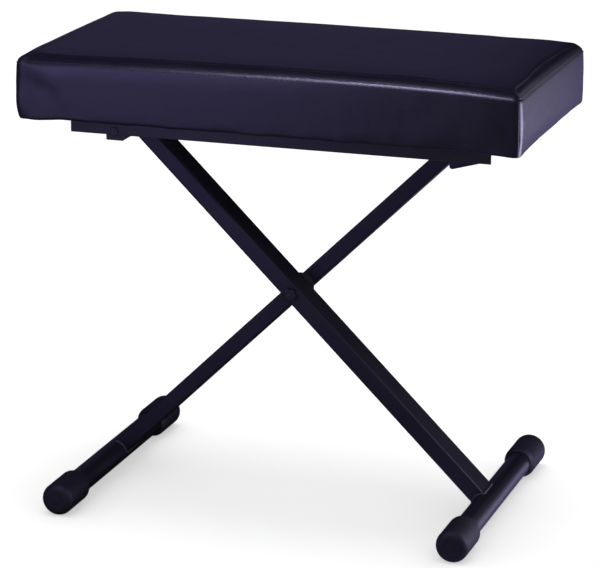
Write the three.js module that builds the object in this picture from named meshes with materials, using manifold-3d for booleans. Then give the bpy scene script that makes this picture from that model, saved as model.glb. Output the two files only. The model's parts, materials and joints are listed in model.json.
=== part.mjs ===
// Piano bench: an upholstered seat on two crossed legs that fold like scissors.
// Millimetres. X runs along the seat, Y from the front to the rear, Z up from the floor.
// The seat turns on a bar at the top of leg A. The bar at the top of leg B carries two pins,
// which run in notched racks under the seat, and a sprung latch stands outside the pins.
import * as THREE from 'three';
import { mergeVertices } from 'three/addons/utils/BufferGeometryUtils.js';
import Module from 'manifold-3d';

// ---- driving dimensions ----
const GAP = 0.3; // left between pieces that touch

const SEAT_LENGTH = 600;
const SEAT_WIDTH = 304;
const SEAT_BOTTOM = 470.6;
const SEAT_TOP = 541;
const SEAT_CORNER = 20; // radius of the four upright corners
const SEAT_ROUNDING = 9; // radius of the edge round the top
const VINYL = 1.5;
const HEM_WIDTH = 28; // the cover's turn-under below the board
const BOARD_THICKNESS = 12;
const CLOTH_THICKNESS = 1;

const SEAT_PIVOT_X = -197.8; // the axis at the top of leg A that the seat turns on
const SEAT_PIVOT_Z = 450;
const FOOT_A_X = 238.9;
const FOOT_B_X = -243.5;
const FOOT_AXIS_Z = 19.2;
const LEG_B_ANGLE = THREE.MathUtils.degToRad(44.36); // to the floor
const LEG_DEPTH = 38; // leg tube's size along Y
const LEG_WIDTH = 20; // leg tube's size across the leg
const LEG_WALL = 1.5;
const LEG_CORNER = 2.5;
const LEG_CLEARANCE = 0.5; // from each leg to the plane between them
const LEG_B_TOP = 3; // how far leg B's tube stops short of its upper bar's axis

const FOOT_RADIUS = 14.5;
const FOOT_WALL = 1.5;
const FOOT_HALF_LENGTH = 186; // to the end of a cap
const CAP_RADIUS = 19.4;
const CAP_LENGTH = 64;
const CAP_END_WALL = 6;
const CAP_END_ROUNDING = 9;
const CAP_LIP = 3; // chamfer at the cap's open end

const RAIL_LEFT = -252;
const RAIL_RIGHT = 254;
const RAIL_HALF_SPAN = 100; // from the middle of the seat to a rail's outer face
const RAIL_TOP = 470.8;
const RAIL_BOTTOM = 446;
const RAIL_FLANGE = 24;
const RAIL_THICKNESS = 2;
const RAIL_BEND = 3; // outer radius of the rail's bend
const SCREW_X = [-236, -110, 70, 222];
const SCREW_Y = 88;
const SCREW_RADIUS = 2.5;
const SCREW_HEAD_RADIUS = 5.5;
const SCREW_HEAD_HEIGHT = 3.2;
const SCREW_LENGTH = 14;

const HIGH_NOTCHES_X = [142, 170];
const NOTCH_RADIUS = 5.4;
const RACK_LEFT = 122;
const RACK_RIGHT = 240;
const RACK_BOTTOM = 455.5;
const RACK_INNER_Y = 78;
const RACK_THICKNESS = 3;

const UPPER_BAR_A_SIZE = 22; // square tube
const UPPER_BAR_A_CORNER = 2;
const UPPER_BAR_WALL = 1.5;
const UPPER_BAR_B_RADIUS = 9.5; // round tube
const UPPER_BAR_B_HALF_LENGTH = 72;
const NOTCH_PIN_RADIUS = 5;
const NOTCH_PIN_END = 93.9;
const NOTCH_PIN_INSET = 25; // length of pin inside its tube
const NOTCH_PIN_COLLAR = 2;

const PIVOT_PIN_RADIUS = 4;
const PIVOT_HEAD_RADIUS = 5.5;
const PIVOT_HEAD_THICKNESS = 0.8;
const BUSH_LENGTH = 25;
const BUSH_FLANGE = 1.5;

const LATCH_X = 244; // the rod that the latch turns on
const LATCH_Z = 463;
const LATCH_ROD_RADIUS = 2.5;
const LATCH_ROD_HALF_LENGTH = 103;
const LATCH_BOSS_RADIUS = 5.5;
const LATCH_PLATE_Y = 94.8; // inner face
const LATCH_PLATE_THICKNESS = 2;
const LATCH_TIP_X = 209;
const LATCH_TIP_Z = 435.5;
const LATCH_RAMP_END_X = 241;
const LATCH_RAMP_END_Z = 445.5;
const LATCH_FACE_X = 205; // the face that holds the pins
const LATCH_FACE_DROP = 11; // from the rod's axis down to the top of that face
const CLIP_RADIUS = 5;
const CLIP_THICKNESS = 1;
const SPRING_MEAN_RADIUS = 4.2;
const SPRING_WIRE_RADIUS = 0.5;
const SPRING_TURNS = 5;
const SPRING_Y = [84, 92]; // from the first turn to the last

const BOLT_RADIUS = 4;
const BOLT_FLATS = 13; // across the flats of the head and the nut
const BOLT_HEAD = 5.3;
const NUT_HEIGHT = 8;
const BOLT_END = 2; // bolt showing past the nut
const WASHER_RADIUS = 8.5;
const WASHER_THICKNESS = 1.6;
const SPACER_RADIUS = 16;
const SPACER_THICKNESS = 0.4;

const ROUND_SIDES = 32; // facets of a tube that shows
const SMALL_SIDES = 16; // facets of a pin, hole or screw

// ---- worked-out sizes ----
// Leg A runs straight from the seat's pivot to foot A, leg B up from foot B at its own angle. They
// cross at the bolt, and both are equally long above it, which makes the notch pins run straight.
const RISE = SEAT_PIVOT_Z - FOOT_AXIS_Z;
const LEG_A_ANGLE = Math.atan2(RISE, FOOT_A_X - SEAT_PIVOT_X);
const SLOPE_A = Math.tan(LEG_A_ANGLE);
const SLOPE_B = Math.tan(LEG_B_ANGLE);
const BOLT_X = (RISE + SLOPE_A * SEAT_PIVOT_X + SLOPE_B * FOOT_B_X) / (SLOPE_A + SLOPE_B);
const BOLT_Z = SEAT_PIVOT_Z - SLOPE_A * (BOLT_X - SEAT_PIVOT_X);
const UPPER_LENGTH = Math.hypot(BOLT_X - SEAT_PIVOT_X, BOLT_Z - SEAT_PIVOT_Z);
const LOWER_LENGTH_A = (BOLT_Z - FOOT_AXIS_Z) / Math.sin(LEG_A_ANGLE);
const LOWER_LENGTH_B = (BOLT_Z - FOOT_AXIS_Z) / Math.sin(LEG_B_ANGLE);
const NOTCH_PIN_X = BOLT_X + UPPER_LENGTH * Math.cos(LEG_B_ANGLE);
const FLANGE_UNDERSIDE = RAIL_TOP - RAIL_THICKNESS;
const BOARD_BOTTOM = SEAT_BOTTOM + VINYL + GAP;
const BOARD_TOP = BOARD_BOTTOM + BOARD_THICKNESS;
const PADDING_INSET = VINYL + GAP;

// ---- finishes ----
const finish = (color, roughness, metalness) =>
  new THREE.MeshStandardMaterial({ color, roughness, metalness });
const VINYL_FINISH = finish(0x27233a, 0.42, 0);
const FOAM_FINISH = finish(0xc9bf95, 0.95, 0);
const WOOD_FINISH = finish(0xa98457, 0.8, 0);
const CLOTH_FINISH = finish(0x17161b, 0.98, 0);
const PAINT_FINISH = finish(0x1c1a26, 0.38, 0.3);
const RUBBER_FINISH = finish(0x161520, 0.7, 0);
const ZINC_FINISH = finish(0x9c9ca3, 0.35, 1);
const BLACK_STEEL_FINISH = finish(0x1b1a20, 0.35, 0.9);
const NYLON_FINISH = finish(0x131217, 0.55, 0);

// ---- solids ----
const wasm = await Module();
wasm.setup();

/** A closed three.js geometry as a solid that can be joined and cut. */
function toSolid(geometry) {
  const bare = geometry.clone();
  bare.deleteAttribute('normal');
  bare.deleteAttribute('uv');
  const merged = mergeVertices(bare);
  const index = merged.index.array;
  const triVerts = [];
  for (let i = 0; i < index.length; i += 3) {
    const [a, b, c] = index.slice(i, i + 3);
    if (a !== b && b !== c && c !== a) triVerts.push(a, b, c);
  }
  return new wasm.Manifold(new wasm.Mesh({
    numProp: 3,
    vertProperties: merged.attributes.position.array,
    triVerts: new Uint32Array(triVerts),
  }));
}

function toGeometry(solid) {
  const { vertProperties, triVerts } = solid.getMesh();
  const result = new THREE.BufferGeometry();
  result.setAttribute('position', new THREE.BufferAttribute(vertProperties, 3));
  result.setIndex(new THREE.BufferAttribute(triVerts, 1));
  return result.toNonIndexed();
}

/** The first geometry with the others cut out of it. */
function cut(geometry, ...tools) {
  return toGeometry(tools.reduce((solid, tool) => solid.subtract(toSolid(tool)), toSolid(geometry)));
}

/** Two geometries joined into one. */
function join(one, other) {
  return toGeometry(toSolid(one).add(toSolid(other)));
}

function mesh(name, geometry, material) {
  const piece = new THREE.Mesh(geometry, material);
  piece.name = name;
  return piece;
}

/** A rectangle with rounded corners, centred on (x, y). */
function roundedRectangle(width, height, radius, x = 0, y = 0) {
  const right = width / 2 - radius;
  const top = height / 2 - radius;
  const quarter = Math.PI / 2;
  const shape = new THREE.Shape();
  shape.absarc(x + right, y + top, radius, 0, quarter);
  shape.absarc(x - right, y + top, radius, quarter, 2 * quarter);
  shape.absarc(x - right, y - top, radius, 2 * quarter, 3 * quarter);
  shape.absarc(x + right, y - top, radius, 3 * quarter, 4 * quarter);
  shape.closePath();
  return shape;
}

/** A shape drawn in (Y, Z), pulled along X from one place to another. */
function alongX(shape, from, to, curveSegments = 4) {
  const geometry = new THREE.ExtrudeGeometry(shape, { depth: to - from, bevelEnabled: false, curveSegments });
  const turn = new THREE.Matrix4().makeBasis(
    new THREE.Vector3(0, 1, 0), new THREE.Vector3(0, 0, 1), new THREE.Vector3(1, 0, 0));
  return geometry.applyMatrix4(turn).translate(from, 0, 0);
}

/** A shape drawn in (X, Z), pulled along Y from one place to another. */
function alongY(shape, from, to, curveSegments = 4) {
  const geometry = new THREE.ExtrudeGeometry(shape, { depth: to - from, bevelEnabled: false, curveSegments });
  return geometry.rotateX(Math.PI / 2).translate(0, to, 0);
}

/** A shape drawn in (X, Y), pulled up from one height to another. */
function alongZ(shape, from, to, curveSegments = 4) {
  const geometry = new THREE.ExtrudeGeometry(shape, { depth: to - from, bevelEnabled: false, curveSegments });
  return geometry.translate(0, 0, from);
}

/** A profile of [radius, y] points turned about the Y axis. */
function turned(profile, sides = SMALL_SIDES) {
  return new THREE.LatheGeometry(profile.map(([r, y]) => new THREE.Vector2(r, y)), sides);
}

function rodAlongY(radius, from, to, sides = SMALL_SIDES) {
  return turned([[0, from], [radius, from], [radius, to], [0, to]], sides);
}

function tubeAlongY(outer, inner, from, to, sides = ROUND_SIDES) {
  return turned([[inner, from], [outer, from], [outer, to], [inner, to], [inner, from]], sides);
}

function holeAlongY(radius, x, z, from, to) {
  return rodAlongY(radius, from, to).translate(x, 0, z);
}

/** A regular hexagon in (X, Z), measured across its flats. */
function hexagon(flats) {
  const shape = new THREE.Shape();
  for (let i = 0; i < 6; i += 1) {
    const angle = (i * Math.PI) / 3;
    const radius = flats / Math.sqrt(3);
    if (i === 0) shape.moveTo(radius, 0);
    else shape.lineTo(radius * Math.cos(angle), radius * Math.sin(angle));
  }
  shape.closePath();
  return shape;
}

/** Turns a piece made for the front (-Y) round to the rear. */
function toRear(geometry) {
  const mirrored = geometry.index ? geometry.toNonIndexed() : geometry.clone();
  mirrored.scale(1, -1, 1);
  const position = mirrored.attributes.position;
  const corner = new THREE.Vector3();
  const other = new THREE.Vector3();
  for (let i = 0; i < position.count; i += 3) {
    corner.fromBufferAttribute(position, i);
    other.fromBufferAttribute(position, i + 1);
    position.setXYZ(i, other.x, other.y, other.z);
    position.setXYZ(i + 1, corner.x, corner.y, corner.z);
  }
  return mirrored;
}

/** A pair of mirrored pieces, NAME_front and NAME_rear. */
function pair(name, frontGeometry, material) {
  return [
    mesh(`${name}_front`, frontGeometry, material),
    mesh(`${name}_rear`, toRear(frontGeometry), material),
  ];
}

// ---- seat ----
/** A slab inside the seat's outline, with the edge round its top rounded over. */
function seatSlab(inset, low, high, rounding) {
  const below = 1;
  const shape = roundedRectangle(SEAT_LENGTH - 2 * inset, SEAT_WIDTH - 2 * inset, SEAT_CORNER - inset);
  const slab = new THREE.ExtrudeGeometry(shape, {
    depth: high - rounding - low + below,
    bevelThickness: rounding,
    bevelSize: rounding,
    bevelOffset: -rounding,
    bevelSegments: 4,
    curveSegments: 5,
  });
  const under = new THREE.BoxGeometry(2 * SEAT_LENGTH, 2 * SEAT_WIDTH, 2 * (rounding + below));
  return cut(slab.translate(0, 0, low - below), under.translate(0, 0, low - rounding - below));
}

function plate(inset, low, high) {
  const corner = Math.max(SEAT_CORNER - inset, 2);
  const outline = roundedRectangle(SEAT_LENGTH - 2 * inset, SEAT_WIDTH - 2 * inset, corner);
  return alongZ(outline, low, high);
}

function screwHoles(from, to) {
  const holes = [];
  for (const side of [-1, 1]) {
    for (const x of SCREW_X) {
      const hole = rodAlongY(SCREW_RADIUS + GAP, from, to).rotateX(Math.PI / 2);
      holes.push(hole.translate(x, side * SCREW_Y, 0));
    }
  }
  return holes;
}

function screw() {
  const top = FLANGE_UNDERSIDE - GAP;
  const dome = SCREW_HEAD_RADIUS * 0.7;
  const profile = [
    [0, top - SCREW_HEAD_HEIGHT],
    [dome, top - SCREW_HEAD_HEIGHT],
    [SCREW_HEAD_RADIUS, top - SCREW_HEAD_HEIGHT / 2],
    [SCREW_HEAD_RADIUS, top],
    [SCREW_RADIUS, top],
    [SCREW_RADIUS, top + SCREW_LENGTH - SCREW_RADIUS],
    [0, top + SCREW_LENGTH],
  ];
  return turned(profile).rotateX(Math.PI / 2);
}

function upholstery() {
  const shell = seatSlab(0, SEAT_BOTTOM, SEAT_TOP, SEAT_ROUNDING);
  const inside = seatSlab(VINYL, SEAT_BOTTOM + VINYL, SEAT_TOP - VINYL, SEAT_ROUNDING - VINYL);
  const hemOpening = plate(HEM_WIDTH, SEAT_BOTTOM - VINYL, SEAT_BOTTOM + 2 * VINYL);
  const foam = seatSlab(
    PADDING_INSET, BOARD_TOP + GAP, SEAT_TOP - PADDING_INSET, SEAT_ROUNDING - PADDING_INSET);
  const holeTop = FLANGE_UNDERSIDE + SCREW_LENGTH + GAP;
  const board = cut(plate(PADDING_INSET, BOARD_BOTTOM, BOARD_TOP), ...screwHoles(RAIL_TOP, holeTop));
  const clothTop = BOARD_BOTTOM - GAP;
  const cloth = cut(
    plate(HEM_WIDTH + GAP, clothTop - CLOTH_THICKNESS, clothTop),
    ...screwHoles(RAIL_BOTTOM, BOARD_TOP));
  return [
    mesh('seat_cover', cut(shell, inside, hemOpening), VINYL_FINISH),
    mesh('foam_pad', foam, FOAM_FINISH),
    mesh('seat_board', board, WOOD_FINISH),
    mesh('dust_cloth', cloth, CLOTH_FINISH),
  ];
}

/** The front rail: an angle with its web outside and its flange under the board. */
function frontRail() {
  const outer = -RAIL_HALF_SPAN;
  const inner = outer + RAIL_THICKNESS;
  const flangeEnd = outer + RAIL_FLANGE;
  const section = new THREE.Shape();
  section.moveTo(outer, RAIL_BOTTOM);
  section.lineTo(inner, RAIL_BOTTOM);
  section.lineTo(inner, FLANGE_UNDERSIDE);
  section.lineTo(flangeEnd, FLANGE_UNDERSIDE);
  section.lineTo(flangeEnd, RAIL_TOP);
  section.absarc(outer + RAIL_BEND, RAIL_TOP - RAIL_BEND, RAIL_BEND, Math.PI / 2, Math.PI);
  section.closePath();
  const through = [outer - 1, inner + 1];
  return cut(
    alongX(section, RAIL_LEFT, RAIL_RIGHT),
    holeAlongY(PIVOT_PIN_RADIUS + GAP, SEAT_PIVOT_X, SEAT_PIVOT_Z, ...through),
    holeAlongY(LATCH_ROD_RADIUS + GAP, LATCH_X, LATCH_Z, ...through),
    ...screwHoles(RAIL_BOTTOM, BOARD_TOP));
}

/** The front rack: a plate with a notch in its lower edge for each height of the seat. */
function frontRack() {
  const notchRoof = RACK_BOTTOM + GAP * 2;
  const outline = new THREE.Shape();
  outline.moveTo(RACK_LEFT, RACK_BOTTOM);
  for (const x of [...HIGH_NOTCHES_X, NOTCH_PIN_X]) {
    outline.lineTo(x - NOTCH_RADIUS, RACK_BOTTOM);
    outline.absarc(x, notchRoof, NOTCH_RADIUS, Math.PI, 0, true);
    outline.lineTo(x + NOTCH_RADIUS, RACK_BOTTOM);
  }
  outline.lineTo(RACK_RIGHT, RACK_BOTTOM);
  outline.lineTo(RACK_RIGHT, FLANGE_UNDERSIDE - GAP);
  outline.lineTo(RACK_LEFT, FLANGE_UNDERSIDE - GAP);
  outline.closePath();
  return alongY(outline, -RACK_INNER_Y - RACK_THICKNESS, -RACK_INNER_Y, 8);
}

/** The pin that the seat turns on: a flat head outside the rail, its shank in the bush. */
function frontPivotPin() {
  const headEnd = -RAIL_HALF_SPAN - GAP;
  const headStart = headEnd - PIVOT_HEAD_THICKNESS;
  const shankEnd = -RAIL_HALF_SPAN + RAIL_THICKNESS + BUSH_LENGTH;
  const profile = [
    [0, headStart],
    [PIVOT_HEAD_RADIUS - PIVOT_HEAD_THICKNESS, headStart],
    [PIVOT_HEAD_RADIUS, headEnd - PIVOT_HEAD_THICKNESS / 2],
    [PIVOT_HEAD_RADIUS, headEnd],
    [PIVOT_PIN_RADIUS, headEnd],
    [PIVOT_PIN_RADIUS, shankEnd],
    [0, shankEnd],
  ];
  return turned(profile, ROUND_SIDES).translate(SEAT_PIVOT_X, 0, SEAT_PIVOT_Z);
}

function seatBody() {
  const seat = new THREE.Group();
  seat.add(
    ...upholstery(),
    ...pair('rail', frontRail(), PAINT_FINISH),
    ...pair('rack', frontRack(), ZINC_FINISH),
    ...pair('pivot_pin', frontPivotPin(), PAINT_FINISH));
  SCREW_X.forEach((x, i) => {
    for (const [row, side] of [['front', -1], ['rear', 1]]) {
      const piece = mesh(`rail_screw_${row}_${i + 1}`, screw(), ZINC_FINISH);
      piece.position.set(x, side * SCREW_Y, 0);
      seat.add(piece);
    }
  });
  return seat;
}

// ---- latch ----
/** The latch plate: an upright holding face, a point, and a ramp back up to the rod's boss. */
function frontLatchPlate() {
  const face = LATCH_FACE_X - LATCH_X;
  const tipX = LATCH_TIP_X - LATCH_X;
  const tipZ = LATCH_TIP_Z - LATCH_Z;
  const tipRise = LATCH_TIP_X - LATCH_FACE_X;
  const topTangent = Math.PI * 0.62; // where the sloping top edge leaves the boss
  const outline = new THREE.Shape();
  outline.moveTo(face, -LATCH_FACE_DROP);
  outline.lineTo(face, tipZ + tipRise);
  outline.quadraticCurveTo(face, tipZ, tipX, tipZ);
  outline.lineTo(LATCH_RAMP_END_X - LATCH_X, LATCH_RAMP_END_Z - LATCH_Z);
  outline.lineTo(LATCH_BOSS_RADIUS, 0);
  outline.absarc(0, 0, LATCH_BOSS_RADIUS, 0, topTangent);
  outline.closePath();
  const outerFace = -LATCH_PLATE_Y - LATCH_PLATE_THICKNESS;
  return cut(
    alongY(outline, outerFace, -LATCH_PLATE_Y, 6),
    rodAlongY(LATCH_ROD_RADIUS + GAP, outerFace - 1, 1 - LATCH_PLATE_Y));
}

/** The coil of the front return spring, round the rod. */
function frontSpring() {
  class Coil extends THREE.Curve {
    getPoint(t, target = new THREE.Vector3()) {
      const angle = t * SPRING_TURNS * 2 * Math.PI;
      const y = -SPRING_Y[0] - t * (SPRING_Y[1] - SPRING_Y[0]);
      return target.set(SPRING_MEAN_RADIUS * Math.cos(angle), y, SPRING_MEAN_RADIUS * Math.sin(angle));
    }
  }
  const wire = new THREE.Shape();
  wire.absarc(0, 0, SPRING_WIRE_RADIUS, 0, 2 * Math.PI);
  return new THREE.ExtrudeGeometry(wire, {
    steps: SPRING_TURNS * 14,
    curveSegments: 3,
    extrudePath: new Coil(),
  });
}

function latchBody() {
  const latch = new THREE.Group();
  latch.position.set(LATCH_X, 0, LATCH_Z);
  const clipEnd = -RAIL_HALF_SPAN - GAP;
  const clipBore = LATCH_ROD_RADIUS + GAP;
  const clip = tubeAlongY(CLIP_RADIUS, clipBore, clipEnd - CLIP_THICKNESS, clipEnd, SMALL_SIDES);
  const rod = rodAlongY(LATCH_ROD_RADIUS, -LATCH_ROD_HALF_LENGTH, LATCH_ROD_HALF_LENGTH);
  latch.add(
    mesh('latch_rod', rod, ZINC_FINISH),
    ...pair('latch_plate', frontLatchPlate(), PAINT_FINISH),
    ...pair('latch_spring', frontSpring(), ZINC_FINISH),
    ...pair('latch_clip', clip, ZINC_FINISH));
  return latch;
}

// ---- legs ----
// A leg is drawn in its own frame: the origin on the crossing bolt, +X down towards its foot.

/** The leg's tube, its ends cut to meet the upper bar and the foot bar, with the bolt's hole. */
function legTube(nearY, lowerLength, topCut, topEnd) {
  const farY = nearY + LEG_DEPTH;
  const middle = (nearY + farY) / 2;
  const section = roundedRectangle(LEG_DEPTH, LEG_WIDTH, LEG_CORNER, middle, 0);
  const bore = [LEG_DEPTH - 2 * LEG_WALL, LEG_WIDTH - 2 * LEG_WALL, LEG_CORNER - LEG_WALL];
  section.holes.push(roundedRectangle(...bore, middle, 0));
  const intoFoot = FOOT_RADIUS / 2;
  return cut(
    alongX(section, topEnd - UPPER_LENGTH, lowerLength - intoFoot),
    topCut.translate(-UPPER_LENGTH, 0, 0),
    rodAlongY(FOOT_RADIUS + GAP, nearY - 1, farY + 1, ROUND_SIDES).translate(lowerLength, 0, 0),
    rodAlongY(BOLT_RADIUS + GAP, nearY - 1, farY + 1));
}

/** The front cap: a rubber cup over the end of the foot bar, flat where it meets the floor. */
function frontCap(turn, lowerLength) {
  const end = -FOOT_HALF_LENGTH;
  const open = end + CAP_LENGTH;
  const inner = FOOT_RADIUS + GAP;
  const profile = [[0, end]];
  const arcSteps = 5;
  for (let i = 0; i <= arcSteps; i += 1) {
    const angle = ((i / arcSteps) * Math.PI) / 2;
    profile.push([
      CAP_RADIUS - CAP_END_ROUNDING * (1 - Math.sin(angle)),
      end + CAP_END_ROUNDING * (1 - Math.cos(angle)),
    ]);
  }
  profile.push(
    [CAP_RADIUS, open - CAP_LIP],
    [CAP_RADIUS - CAP_LIP, open],
    [inner, open],
    [inner, end + CAP_END_WALL],
    [0, end + CAP_END_WALL]);
  const floor = new THREE.BoxGeometry(4 * CAP_RADIUS, 2 * FOOT_HALF_LENGTH, 2 * CAP_RADIUS);
  floor.translate(0, end, -FOOT_AXIS_Z - CAP_RADIUS);
  return cut(turned(profile, ROUND_SIDES), floor).rotateY(-turn).translate(lowerLength, 0, 0);
}

/** The foot bar with its two caps; turn is the leg's own turn about Y. */
function foot(letter, turn, lowerLength) {
  const half = FOOT_HALF_LENGTH - CAP_END_WALL - GAP;
  const bar = tubeAlongY(FOOT_RADIUS, FOOT_RADIUS - FOOT_WALL, -half, half);
  return [
    mesh(`foot_bar_${letter}`, bar.translate(lowerLength, 0, 0), PAINT_FINISH),
    ...pair(`foot_cap_${letter}`, frontCap(turn, lowerLength), RUBBER_FINISH),
  ];
}

/** The square bar at the top of leg A, with a nylon bush in each end. */
function upperBarA(turn) {
  const size = UPPER_BAR_A_SIZE;
  const bore = size - 2 * UPPER_BAR_WALL;
  const bushStart = -RAIL_HALF_SPAN + RAIL_THICKNESS + GAP;
  const barEnd = bushStart + BUSH_FLANGE + GAP;
  const section = roundedRectangle(size, size, UPPER_BAR_A_CORNER);
  section.holes.push(roundedRectangle(bore, bore, UPPER_BAR_A_CORNER / 2));
  const bushHole = rodAlongY(PIVOT_PIN_RADIUS + GAP, -RAIL_HALF_SPAN, 0);
  const plugOutline = roundedRectangle(bore - 2 * GAP, bore - 2 * GAP, UPPER_BAR_A_CORNER / 2);
  const plug = alongY(plugOutline, bushStart + GAP, bushStart + BUSH_LENGTH);
  const flangeOutline = roundedRectangle(size, size, UPPER_BAR_A_CORNER);
  const flange = alongY(flangeOutline, bushStart, bushStart + BUSH_FLANGE);
  const place = (geometry) => geometry.rotateY(-turn).translate(-UPPER_LENGTH, 0, 0);
  return [
    mesh('upper_bar_a', place(alongY(section, barEnd, -barEnd)), PAINT_FINISH),
    ...pair('pivot_bush', place(cut(join(plug, flange), bushHole)), NYLON_FINISH),
  ];
}

/** The round bar at the top of leg B, with a stepped steel pin in each end. */
function upperBarB() {
  const half = UPPER_BAR_B_HALF_LENGTH;
  const bore = UPPER_BAR_B_RADIUS - UPPER_BAR_WALL;
  const collar = -half - GAP;
  const pin = turned([
    [0, -NOTCH_PIN_END],
    [NOTCH_PIN_RADIUS - 1, -NOTCH_PIN_END],
    [NOTCH_PIN_RADIUS, 1 - NOTCH_PIN_END],
    [NOTCH_PIN_RADIUS, collar - NOTCH_PIN_COLLAR],
    [UPPER_BAR_B_RADIUS - 1, collar - NOTCH_PIN_COLLAR],
    [UPPER_BAR_B_RADIUS - 1, collar],
    [bore - GAP, collar],
    [bore - GAP, collar + NOTCH_PIN_INSET],
    [0, collar + NOTCH_PIN_INSET],
  ], ROUND_SIDES);
  const place = (geometry) => geometry.translate(-UPPER_LENGTH, 0, 0);
  return [
    mesh('upper_bar_b', place(tubeAlongY(UPPER_BAR_B_RADIUS, bore, -half, half)), PAINT_FINISH),
    ...pair('notch_pin', place(pin), ZINC_FINISH),
  ];
}

/** The bolt through the crossing, with its washers, its lock nut and the disc between the legs. */
function crossingBolt() {
  const face = LEG_CLEARANCE + LEG_DEPTH; // outer face of either leg
  const washerStart = face + GAP;
  const washerEnd = washerStart + WASHER_THICKNESS;
  const headStart = washerEnd + GAP;
  const nutEnd = headStart + NUT_HEIGHT;
  const shank = rodAlongY(BOLT_RADIUS, -headStart - 1, nutEnd + BOLT_END);
  const head = alongY(hexagon(BOLT_FLATS), -headStart - BOLT_HEAD, -headStart);
  const hole = BOLT_RADIUS + GAP;
  const half = SPACER_THICKNESS / 2;
  const washer = tubeAlongY(WASHER_RADIUS, hole, -washerEnd, -washerStart);
  const nut = cut(alongY(hexagon(BOLT_FLATS), headStart, nutEnd), rodAlongY(hole, 0, nutEnd + 1));
  return [
    mesh('crossing_bolt', join(shank, head), BLACK_STEEL_FINISH),
    ...pair('crossing_washer', washer, BLACK_STEEL_FINISH),
    mesh('crossing_disc', tubeAlongY(SPACER_RADIUS, hole, -half, half), NYLON_FINISH),
    mesh('crossing_nut', nut, BLACK_STEEL_FINISH),
  ];
}

function legFrame(turn) {
  const leg = new THREE.Group();
  leg.position.set(BOLT_X, 0, BOLT_Z);
  leg.rotation.y = turn;
  return leg;
}

/** Leg A, in front: from the seat's pivot at the left down to the right foot. */
function legA() {
  const turn = LEG_A_ANGLE;
  const clear = UPPER_BAR_A_SIZE + 2 * GAP;
  const barCut = new THREE.BoxGeometry(clear, 3 * LEG_DEPTH, clear).rotateY(-turn);
  const topEnd = UPPER_BAR_A_SIZE / 4;
  const leg = legFrame(turn);
  const tube = legTube(-LEG_CLEARANCE - LEG_DEPTH, LOWER_LENGTH_A, barCut, topEnd);
  leg.add(
    mesh('leg_a_tube', tube, PAINT_FINISH),
    ...foot('a', turn, LOWER_LENGTH_A),
    ...upperBarA(turn),
    ...crossingBolt());
  return leg;
}

/** Leg B, behind: from the left foot up to the notch pins at the right. */
function legB() {
  const turn = Math.PI - LEG_B_ANGLE;
  const barCut = rodAlongY(UPPER_BAR_B_RADIUS + GAP, -LEG_DEPTH, 2 * LEG_DEPTH, ROUND_SIDES);
  const leg = legFrame(turn);
  leg.add(
    mesh('leg_b_tube', legTube(LEG_CLEARANCE, LOWER_LENGTH_B, barCut, LEG_B_TOP), PAINT_FINISH),
    ...foot('b', turn, LOWER_LENGTH_B),
    ...upperBarB());
  return leg;
}

const group = new THREE.Group();
group.add(legA(), legB(), seatBody(), latchBody());

export default group;
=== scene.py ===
import json
import math

import bpy
import numpy as np
from mathutils import Matrix, Vector
from mathutils.bvhtree import BVHTree


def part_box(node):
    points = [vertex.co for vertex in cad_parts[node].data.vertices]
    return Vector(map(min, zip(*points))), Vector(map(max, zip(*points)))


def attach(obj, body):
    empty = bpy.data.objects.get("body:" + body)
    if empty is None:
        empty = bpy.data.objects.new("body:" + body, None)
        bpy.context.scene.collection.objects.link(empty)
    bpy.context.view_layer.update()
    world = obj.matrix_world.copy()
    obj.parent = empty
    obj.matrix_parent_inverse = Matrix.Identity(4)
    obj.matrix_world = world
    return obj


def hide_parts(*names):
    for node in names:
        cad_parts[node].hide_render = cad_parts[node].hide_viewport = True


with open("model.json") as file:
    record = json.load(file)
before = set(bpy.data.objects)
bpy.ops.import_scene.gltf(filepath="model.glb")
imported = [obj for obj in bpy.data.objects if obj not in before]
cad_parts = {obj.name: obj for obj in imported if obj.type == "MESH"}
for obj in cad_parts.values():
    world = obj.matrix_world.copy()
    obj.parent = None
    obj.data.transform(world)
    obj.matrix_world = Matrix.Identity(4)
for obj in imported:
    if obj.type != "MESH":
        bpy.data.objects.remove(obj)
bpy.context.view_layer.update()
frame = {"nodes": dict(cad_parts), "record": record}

MM = 0.001
TURN = 2 * math.pi

JOINTS = {joint["name"]: joint for joint in frame["record"]["behaviour"]["joints"]}
BOLT = np.array(JOINTS["scissor"]["pos_m"])
SEAT_PIVOT = np.array(JOINTS["seat_pivot"]["pos_m"])
LATCH_PIVOT = np.array(JOINTS["latch_release"]["pos_m"])


def box(node):
    """The lowest and highest corners of a CAD node, as arrays."""
    return tuple(np.array(corner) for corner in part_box(node))


def middle(node):
    low, high = box(node)
    return (low + high) / 2


# ---- numbers for the seat ----
SEAT_LOW, SEAT_HIGH = box("seat_cover")
SEAT_HALF_X = SEAT_HIGH[0]
SEAT_HALF_Y = SEAT_HIGH[1]
SEAT_HEIGHT = SEAT_HIGH[2] - SEAT_LOW[2]
CLOTH_LOW, CLOTH_HIGH = box("dust_cloth")
HEM_WIDTH = SEAT_HALF_X - CLOTH_HIGH[0]
LEATHER_THICKNESS = 1.2 * MM
FOAM_INSET = 4.6 * MM  # the foam's outside, in from the cover's
FRONT_ARCH = 5.0 * MM  # rise of the front top edge at mid-length
REAR_ARCH = 1.2 * MM
LEFT_RISE = 2.6 * MM  # how much higher the padding stands along the left end
CROWN = 3.4 * MM  # further rise of the top at its middle
SIDE_BULGE = 2.4 * MM
END_BULGE = 1.7 * MM  # how much further the two ends swell
CORNER_FADE = 16 * MM
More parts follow.
